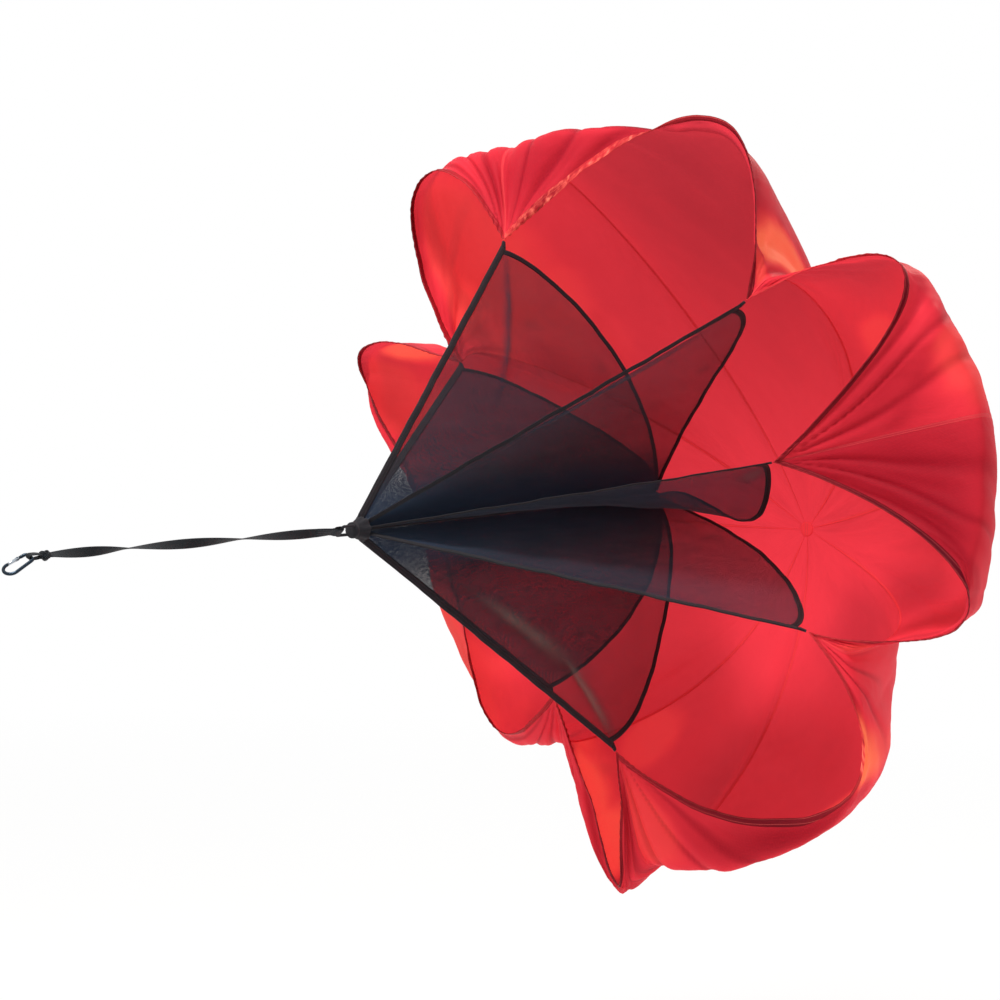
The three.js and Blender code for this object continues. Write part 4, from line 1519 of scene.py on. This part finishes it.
    def rear_edge_binding(self) -> bpy.types.Object:
        """The tape on the curved rear edge.

        Returns:
            The piece.
        """
        r = np.linspace(0.028, 1, 84)
        s = np.stack([self.short_of_rear(r, x) for x in np.linspace(self.rear_shown, 0, 9)], 1)
        r = r[:, None]
        sway = 0.8 * np.sin(r * 31 + self.index) + 0.4 * np.sin(r * 77)
        return self.tape("rear", self.surface(s, r), r, sway)

    def tab(self) -> bpy.types.Object:
        """The bar-tacked tab between the fin's tip and the hem.

        Returns:
            The piece.
        """
        front, back = self.edge_length + CLEAR, self.edge_length + self.tab_length - 2.5
        d = np.linspace(front, back, 14)
        share = (d - front) / (back - front)
        path = self.edge(d, self.binding / 2 - (d - front) * 0.4)
        width = self.tab_width * (1 - 0.4 * share) * (1 - 0.06 * np.sin(share * 14) ** 2)
        thick = self.tab_thick * (0.86 + 0.14 * np.sin(share * 19) ** 2)
        return dress(f"corner_tab_{self.number}", flown(ribbon(path, self.inward, width, thick)),
                     TAB_BLACK)

    def build(self) -> None:
        """Makes the fin's pieces."""
        note(self.edge_binding(), self.rear_edge_binding(), self.tab(), self.net())


@dataclass
class Gathering:
    """Where the fins meet: the spine seam, its rear tack, the collar and the cord loop."""

    spine_radius: float = 3.6
    tack_radius: float = 8.4
    cord: float = 5.0
    loop_half: float = 10.8
    loop_bend: float = 3.0
    roll: float = -45.0

    def spine(self) -> bpy.types.Object:
        """The rolled seam on the pull axis, with the sewn tack at its rear end.

        Returns:
            The piece.
        """
        front, rear, r, big = COLLAR_BACK + CLEAR, NET_MIDDLE, self.spine_radius, self.tack_radius
        tack = rear - 12
        profile = [(front, r * 0.1)] + [(x, r) for x in np.linspace(front + 0.5, tack - 1, 160)]
        profile += [(tack, r + 1.5), (tack + 1, big * 0.9), (tack + 3, big), (tack + 6, big * 0.96),
                    (tack + 9, big), (tack + 12, big * 0.94), (rear + 1.5, big - 1.6),
                    (rear + 4, big - 3.2), (rear + 5.5, 1.6), (rear + 5.9, 0.2)]

        def fold(a: Array, x: Array) -> Array:
            """Rolled cloth on the seam, and the ends of eight tapes in the tack.

            Args:
                a: Angles.
                x: Places on the axis, in mm.

            Returns:
                The radius's scale.
            """
            rolls = 0.07 * np.sin(2 * a + x / 14) + 0.03 * np.sin(x / 3.1)
            ends = 0.08 * np.cos(8 * a + 0.4)
            return 1 - 0.09 + np.where(x > tack, ends, rolls)

        return dress("net_spine_seam", flown(revolve(profile, 40, fold)), TAPE_BLACK)

    def collar(self) -> bpy.types.Object:
        """The gathered, oversewn ends of the bindings.

        Returns:
            The piece.
        """
        profile = [(-13, 0.3), (-13, 6), (-12.8, 10), (-12, 12.6), (-10, 13.8), (-6, 14),
                   (-4.4, 13.2), (-3.4, 13.2), (-2, 14), (1, 14.6), (5, 16.6), (9.6, 18.9),
                   (13, 20.4), (15.4, 20.6), (16, 19.6), (16, 8), (16, 0.3)]

        def fold(a: Array, x: Array) -> Array:
            """Eight tapes side by side that are pressed together towards the nose."""
            loose = ease(x, -8, 14)
            return 1 - 0.05 + 0.05 * np.cos(8 * a + 0.9) * loose + 0.018 * np.sin(23 * a + x * 0.8)

        return dress("apex_collar", flown(revolve(profile, 144, fold)), TAB_BLACK)

    def loop(self) -> bpy.types.Object:
        """The cord loop that takes the tether.

        Returns:
            The piece.
        """
        w, half, bend = rolled(self.roll), self.loop_half, self.loop_bend
        foot = -13.3 - (half + self.cord / 2) * math.sin(CHUTE_RISE)
        x = np.linspace(foot, LINK + bend, 8)[:, None]
        path = [X_WAY * x - w * half]
        for side, start, skip in ((-1, 180, 1), (1, 90, 0)):
            angle = np.radians(start - np.linspace(0, 90, 9)[skip:])[:, None]
            centre = X_WAY * (LINK + bend) + w * side * (half - bend)
            path.append(centre - X_WAY * bend * np.sin(angle) + w * bend * np.cos(angle))
        path.append(X_WAY * x[-2::-1] + w * half)
        form = sweep(np.concatenate(path), self.cord / 2, 20, np.cross(X_WAY, w))
        return dress("apex_loop", form, CORD_BLACK)

    def build(self) -> None:
        """Makes the gathering's pieces."""
        note(self.spine(), self.collar(), self.loop())


def bight(straight: Sequence[tuple[float, float]], bow: float, radius: float, ahead: int,
          way: Array) -> list[Array]:
    """Webbing's path out along one side, round a bow and back along the other.

    Args:
        straight: Places (x, aside) up to the bow, in mm.
        bow: The x of the bow's middle, in mm.
        radius: The bow's radius, in mm.
        ahead: 1 where the bow turns towards +X, and -1 towards -X.
        way: The way aside.

    Returns:
        The path's points, in mm.
    """
    turn = [(bow + ahead * radius * math.sin(a), radius * math.cos(a))
            for a in np.linspace(0, math.pi, 13)]
    flat = [*straight, *turn, *((x, -y) for x, y in straight[::-1])]
    return [X_WAY * x + way * y for x, y in flat]


@dataclass
class Tether:
    """The webbing between the apex loop and the hook: eye, twisted length, knot and end loop."""

    width: float = 15.0
    thick: float = 1.6
    eye_front: float = -58.0
    eye_roll: float = 45.0
    sewn: float = 34.0
    swing: float = -187.0
    swing_half: float = 26.0
    knot: float = -644.0
    knot_length: float = 23.0
    knot_turn: tuple[float, float, float] = (3.0, 1.95, 4.3)
    knot_cord: tuple[float, float] = (6.4, 3.2)
    core_half: tuple[float, float] = (8.6, 5.6)
    loop_width: float = 9.0
    loop_roll: float = 110.0
    ring_radius: float = 2.5
    twist: tuple[tuple[float, float], ...] = (
        (-58, -45), (-259, -188), (-496, -368), (-578, -458), (-644, -520))

    @property
    def wrap(self) -> float:
        """How far the webbing's middle is from that of the cord or wire that it goes round."""
        return self.ring_radius + CLEAR + self.thick / 2

    def roll(self, x: Array) -> Array:
        """The roll of the webbing's width at each x."""
        places, rolls = np.array(self.twist).T
        return np.interp(-np.asarray(x, float), -places, rolls)

    def ways(self, x: Array) -> Array:
        """The way of the webbing's width at each x."""
        a = np.radians(self.roll(x))
        return np.stack([0 * a, np.cos(a), np.sin(a)], -1)

    def line(self, count: int) -> Array:
        """The x of that many places from the eye to the knot."""
        return np.linspace(self.eye_front - CLEAR, self.knot - 4, count)

    def strap(self) -> bpy.types.Object:
        """The twisted webbing, which stands in for the straps of both tether bodies.

        Returns:
            The piece.
        """
        x = self.line(240)
        sewn_to = -self.eye_front + self.sewn
        ply = 1 - ease(-x, sewn_to - 1.5, sewn_to + 1.5)
        thick = self.thick + (self.thick + 0.4) * ply
        made = make_piece("tether_webbing",
                          ribbon(X_WAY * x[:, None], self.ways(x), self.width, thick, 24),
                          WEB_BLACK, body="tether_front")
        made.data.materials.append(Finishes.of(WEB_SEWN))
        limit = to_frame([-sewn_to, 0, 0])[0]
        for face in made.data.polygons:
            face.material_index = int(face.center[0] > limit)
        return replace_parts(made, "tether_rear_strap", "tether_front_strap")

    def eye(self) -> bpy.types.Object:
        """The webbing folded round the apex loop.

        Returns:
            The piece.
        """
        ply, front = self.thick / 2 + 0.2, self.eye_front
        straight = [(front, ply), (front + 4, ply + 0.2), (front + 9, self.wrap * 0.85),
                    (LINK - 4, self.wrap)]
        path = smooth_path(bight(straight, LINK, self.wrap, 1, rolled(self.eye_roll)), 1.0)
        form = ribbon(path, rolled(self.eye_roll - 90), self.width, self.thick, 24)
        made = make_piece("tether_eye", form, WEB_SEWN, "tether_rear")
        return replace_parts(made, "tether_rear_eye")

    def knotted_loop(self) -> bpy.types.Object:
        """The knot, and the webbing's end that passes through the hook.

        Returns:
            The piece.
        """
        roll = float(self.roll(self.knot))
        ways = np.array([X_WAY, rolled(roll + 180), rolled(roll + 270)])
        middle = X_WAY * (self.knot - self.knot_length / 2)
        # A trefoil knot of narrow cord about a solid core
        a = np.append(np.linspace(0, math.tau, 121)[:-1], 0)
        turns = np.stack([np.sin(a) + 2 * np.sin(2 * a), np.cos(a) - 2 * np.cos(2 * a),
                          -np.sin(3 * a)], -1)
        path = middle + turns * np.array(self.knot_turn) @ ways
        facing = unit(np.gradient(path, axis=0))
        knot = ribbon(path, np.cross(facing, unit(path - middle)), *self.knot_cord, 16)
        half, r = self.core_half
        points, *core = revolve([(x, r * math.sqrt(max(1 - (x / half) ** 2, 0.002)))
                                 for x in np.linspace(-half, half, 15)], 24)
        core = (middle + points * np.array([1, 1, 0.8]) @ ways, *core)
        x = np.linspace(self.knot + 1, self.knot - 6, 6)
        entry = ribbon(X_WAY * x[:, None], self.ways(x), np.linspace(self.width, 9, 6),
                       np.linspace(self.thick, 4.5, 6), 16)
        start = self.knot - self.knot_length + 3
        straight = [(start, self.wrap * 0.6), ((start + HOOK_PLACE) / 2, self.wrap)]
        path = bight(straight, HOOK_PLACE, self.wrap, -1, rolled(self.loop_roll))
        loop = ribbon(smooth_path(path, 0.8), rolled(self.loop_roll - 90), self.loop_width,
                      self.thick, 20)
        return dress("tether_knotted_loop", merged(knot, core, entry, loop), WEB_BLACK,
                     "tether_front")

    def build(self) -> None:
        """Makes the tether's pieces, and takes the strap off its body with its place baked into its
        points.
        """
        eye, knot, strap = self.eye(), self.knotted_loop(), self.strap()
        strap.parent = None
        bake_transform(strap)
        note(eye, knot, strap)


@dataclass
class SnapHook:
    """The wire hook with its sprung gate, laid out along the hook from its narrow bow."""

    wire: float = 5.0
    length: float = 45.0
    narrow_half: float = 9.3
    narrow_bend: float = 4.5
    wide: float = 11.5
    droop: float = 30.0
    roll: float = 20.0
    pin_place: float = 14.5
    pin_radius: float = 0.8
    pin_head: float = 1.4
    gate_radius: float = 2.4
    gate_bore: float = 1.15
    tongue_radius: float = 2.2
    tongue_half: float = 1.0
    nose: float = 31.0
    nose_gap: float = 0.6
    spring_length: float = 8.0
    spring_turns: int = 9
    spring_radius: float = 0.75
    spring_wire: float = 0.15

    def __post_init__(self) -> None:
        """Works out the hook's own directions and the line of its gate."""
        a = math.radians(self.droop)
        x = -X_WAY * math.cos(a) + rolled(self.roll - 90) * math.sin(a)
        y = rolled(self.roll)
        self.ways = np.array([x, y, np.cross(x, y)])
        self.wide_centre = self.length - self.wide
        self.slope = (self.wide - self.narrow_half) / (self.wide_centre - self.narrow_bend)
        self.pin_y = self.side(self.pin_place)

    def side(self, x: float) -> float:
        """How far the gate's line is from the hook's middle line."""
        return self.narrow_half + self.slope * (x - self.narrow_bend)

    def put(self, points: Array) -> Array:
        """Points of the hook's own frame, in mm from the apex."""
        return X_WAY * HOOK_PLACE + np.asarray(points, float) @ self.ways

    def on_gate(self, points: Array) -> Array:
        """Points about the pin, with x along the gate, as mm from the apex.

        Args:
            points: The points, in mm.

        Returns:
            The same points from the apex.
        """
        x, y, z = np.moveaxis(points, -1, 0)
        c, s = 1 / math.hypot(1, self.slope), self.slope / math.hypot(1, self.slope)
        x, y = x * c - y * s, x * s + y * c
        return self.put(np.stack([x + self.pin_place, y + self.pin_y, z], -1))

    def body(self) -> bpy.types.Object:
        """The bent wire and its flattened tongue.

        Returns:
            The piece.
        """
        foot = self.pin_place - self.gate_radius - 2.2
        near, narrow = (foot + self.narrow_bend) / 2 + 1, self.narrow_half - self.narrow_bend
        path = [(x, self.side(x)) for x in (foot, near)]
        for cx, cy, r, start, stop, steps in (
                (self.narrow_bend, narrow, self.narrow_bend, 90, 180, 10),
                (self.narrow_bend, -narrow, self.narrow_bend, 180, 270, 10),
                (self.wide_centre, 0, self.wide, -88, 88, 34)):
            path += [(cx + r * math.cos(a), cy + r * math.sin(a))
                     for a in np.radians(np.linspace(start, stop, steps + 1))]
        path = np.array([(x, y, 0.0) for x, y in [*path, (self.nose, self.side(self.nose))]])
        fine = [path[:1]]
        for p, q in zip(path, path[1:], strict=False):
            steps = max(int(np.linalg.norm(q - p) / 1.2), 1)
            fine.append(p + (q - p) * np.arange(1, steps + 1)[:, None] / steps)
        fine = np.concatenate(fine)
        gone = lengths_along(fine)
        rest = np.minimum(gone, gone[-1] - gone)
        radius = self.wire / 2 * (0.86 + 0.14 * np.sqrt(np.clip(rest / 0.7, 0, 1)))
        wire = sweep(self.put(fine), radius, 28, self.ways[2])
        r, half = self.tongue_radius, self.tongue_half
        outline = [(self.pin_place + r * math.cos(a), r * math.sin(a))
                   for a in np.linspace(-math.pi / 2, math.pi / 2, 13)]
        outline = [(foot - 1, -r), *outline, (foot - 1, r)]
        layers = ((-half, 0.92), (-half + 0.25, 1), (half - 0.25, 1), (half, 0.92))
        tongue = [[(self.pin_place + (x - self.pin_place) * k, self.pin_y + y * k, z)
                   for x, y in outline] for z, k in layers]
        return dress("hook_body", merged(wire, tube(self.put(tongue))), SHADED_HOOK_STEEL, "snap_hook")

    def gate(self) -> bpy.types.Object:
        """The bar that closes the hook, forked at the pin and bored for its spring.

        Returns:
            The piece.
        """
        r, end, bore = self.gate_radius, self.nose - self.nose_gap - self.pin_place, self.gate_bore
        start, deep = self.tongue_radius + CLEAR, self.tongue_radius + 9.2
        profile = [(start, bore), (start, r * 0.9), (start + 0.25, r), (end - 0.5, r),
                   (end - 0.1, r * 0.9), (end, r * 0.7), (end, 0.05), (deep, 0.05), (deep, bore),
                   (start, bore)]
        points, faces, uv = revolve(profile, 28)
        forms = [(self.on_gate(points), faces[:-2], uv)]
        outline = [(r * 0.96 * math.cos(a), r * 0.96 * math.sin(a))
                   for a in np.linspace(math.pi / 2, 3 * math.pi / 2, 15)]
        outline = [(start + 0.8, r * 0.86), *outline, (start + 0.8, -r * 0.86)]
        for side in (-1, 1):
            cheek = [[(x * k if x < 0 else x, y * k, side * z) for x, y in outline]
                     for z, k in ((1.3, 1.0), (1.9, 1.0), (2.15, 0.86))]
            forms.append(tube(self.on_gate(np.array(cheek))))
        return dress("hook_gate", merged(*forms), HIGHLIT_GATE_STEEL, "gate")

    def pin(self) -> bpy.types.Object:
        """The pin that the gate turns on, with two domed heads.

        Returns:
            The piece.
        """
        half, head = self.gate_radius * 0.92 + 0.3, self.pin_head
        end = [(half, self.pin_radius), (half, head), (half + 0.2, head), (half + 0.5, head * 0.7),
               (half + 0.6, 0.05)]
        points, *rest = revolve([(-x, y) for x, y in end[::-1]] + end, 24)
        return dress("gate_pin", (self.on_gate(points[:, [1, 2, 0]]), *rest), SHADED_HOOK_STEEL,
                     "snap_hook")

    def spring(self) -> bpy.types.Object:
        """The small coil spring in the gate's bore.

        Returns:
            The piece.
        """
        start, r = self.tongue_radius + 0.75, self.spring_radius
        a = np.linspace(0, math.tau * self.spring_turns, 24 * self.spring_turns)
        x = start + (self.spring_length - 0.3) * a / a[-1]
        coil = np.stack([x, r * np.cos(a), r * np.sin(a)], -1)
        form = sweep(self.on_gate(coil), self.spring_wire, 8, self.ways[0])
        return dress("gate_spring", form, SPRING_STEEL, "gate")

    def build(self) -> None:
        """Makes the hook's pieces."""
        note(self.body(), self.gate(), self.pin(), self.spring())


@dataclass
class Studio:
    """The camera, the floor, the white surroundings and the lights."""

    camera_turn: float = -47.4311
    camera_rise: float = 5.8015
    camera_far: float = 4.4722
    look_turn: float = -50.4224
    look_rise: float = 5.1921
    lens: float = 99.834
    sensor: float = 36.0
    floor_drop: float = 0.55
    floor_half: float = 60.0
    surround: float = 0.62
    key: float = 185.0
    key_place: tuple[float, float, float] = (-1.9, -1.7, 3.9)
    sun: float = 60.0
    sun_place: tuple[float, float, float] = (3.2, 2.4, 2.6)
    middle: tuple[float, float, float] = (0.8, 0.0, 0.0)

    @staticmethod
    def way(turn: float, rise: float) -> Vector:
        """The way from the canopy at a turn and a rise, in degrees, as it flies."""
        a, b = math.radians(turn), math.radians(rise)
        return Vector(risen([math.sin(a) * math.cos(b), -math.cos(a) * math.cos(b), math.sin(b)]))

    def camera(self) -> None:
        """The photograph's camera."""
        data = bpy.data.cameras.new("camera")
        data.sensor_fit, data.sensor_width = "HORIZONTAL", self.sensor
        data.lens, data.clip_end = self.lens, 200.0
        made = bpy.data.objects.new("camera", data)
        back = self.way(self.look_turn, self.look_rise)
        a = math.radians(self.look_turn)
        right = Vector(risen([math.cos(a), math.sin(a), 0]))
        turn = Matrix((right, back.cross(right), back)).transposed().to_4x4()
        place = Vector(APEX) + self.camera_far * self.way(self.camera_turn, self.camera_rise)
        made.matrix_world = Matrix.Translation(place) @ turn
        bpy.context.collection.objects.link(made)
        bpy.context.scene.camera = made

    def light(self, name: str, place: tuple[float, float, float], size: float, watts: float,
              colour: tuple[float, float, float]) -> bpy.types.Object:
        """A soft square light that faces the canopy.

        Args:
            name: Its name.
            place: Metres from the canopy's middle: away from the camera, right and up.
            size: Its side, in metres.
            watts: Its power.
            colour: Its colour.

        Returns:
            The light.
        """
        data = bpy.data.lights.new(name, "AREA")
        data.shape, data.size, data.energy, data.color = "SQUARE", size, watts, colour
        made = bpy.data.objects.new(name, data)
        a, (far, right, up) = math.radians(self.look_turn), place
        offset = (-self.way(self.look_turn, 0) * far
                  + Vector((math.cos(a), math.sin(a), 0)) * right + Vector((0, 0, up)))
        turn = (-offset).to_track_quat("-Z", "Y").to_matrix().to_4x4()
        middle = Vector(APEX) + Vector(self.middle)
        made.matrix_world = Matrix.Translation(middle + offset) @ turn
        bpy.context.collection.objects.link(made)
        return made

    def surroundings(self) -> None:
        """Soft light all round, and full white behind the object and in what shines."""
        world = bpy.data.worlds.new("surroundings")
        m = Material("surroundings", world)
        rays = ("Is Camera Ray", "Is Glossy Ray", "Is Transmission Ray")
        camera, glossy, passing = (m.node("ShaderNodeLightPath", {}, {}, ray) for ray in rays)
        white = (camera + glossy + passing).limit()
        m.surface(m.node("ShaderNodeBackground", {}, {
            "Color": (1, 1, 1, 1), "Strength": white * (1 - self.surround) + self.surround}))
        bpy.context.scene.world = world

    def floor(self) -> bpy.types.Object:
        """A plain pale floor below the flying canopy.

        Returns:
            The piece.
        """
        low, side = float(CAD_BOX[0][2]) - self.floor_drop, self.floor_half
        mesh = bpy.data.meshes.new("floor")
        corners = [(-side, -side, low), (side, -side, low), (side, side, low), (-side, side, low)]
        mesh.from_pydata(corners, [], [(0, 1, 2, 3)])
        m = Material("floor_paint")
        place = m.node("ShaderNodeTexCoord", {}, {}, "Object")
        pale, paler = (0.97, 0.97, 0.97, 1), (0.99, 0.99, 0.99, 1)
        paint = m.principled({"Base Color": m.mix(m.noise(place, 3.0) * 0.1, paler, pale),
                              "Roughness": 0.9, "Specular IOR Level": 0.1})
        white = m.node("ShaderNodeEmission", {}, {"Color": (1, 1, 1, 1), "Strength": 1.0})
        x, y = m.split(place)
        far = ((x * x + y * y) / 40 - 0.2).limit()
        seen = m.node("ShaderNodeLightPath", {}, {}, "Is Camera Ray") * (0.86 + far * 0.14)
        mesh.materials.append(m.surface(m.blend(seen, paint, white)))
        made = bpy.data.objects.new("floor", mesh)
        bpy.context.collection.objects.link(made)
        return made

    def build(self) -> None:
        """Sets the camera, the floor and the light."""
        self.camera()
        self.surroundings()
        sun = self.light("sun_panel", self.sun_place, 1.2, self.sun, (1.0, 0.88, 0.74))
        key = self.light("key_panel", self.key_place, 1.1, self.key, (1.0, 0.97, 0.93))
        self.floor()
        bpy.context.scene.view_settings.view_transform = "Standard"


# The folds of some fins, and how much denser each fin looks than plain net, or thinner under 0
CREASES = {
    0: (Crease((1.0, 1.0), (0.56, 0.60), 0.014, -0.8),),
    1: (Crease((0.96, 0.97), (0.30, 0.96), 0.045, -0.8),),
    2: (Crease((0.93, 0.78), (0.99, 0.9), 0.03, 0.5),),
    3: (Crease((0.95, 0.97), (0.30, 0.95), 0.04, -0.8),),
    4: (Crease((0.99, 0.98), (0.68, 0.75), 0.022, 1.0),
        Crease((0.76, 0.80), (0.36, 0.70), 0.06, 0.8)),
}
DENSITIES = (-0.34, 0.22, 0.65, 0.55, -0.38, 0.60, 0.62, 0.75)


class Parachute:
    """The whole object: the camera and the cord are made first."""

    def __init__(self) -> None:
        """Lists its sub-assemblies in the order in which they are made."""
        fins = [NetFin(i, corner, CREASES.get(i, ()), DENSITIES[i])
                for i, corner in enumerate(CORNERS)]
        self.parts = [Studio(), Tether(), SnapHook(), Gathering(), *fins, Canopy()]

    def build(self) -> None:
        """Makes everything."""
        for part in self.parts:
            part.build()


def main() -> None:
    """Builds the scene."""
    logging.basicConfig(level=logging.INFO, format="%(name)s: %(message)s")
    Parachute().build()


if __name__ == "__main__":
    main()
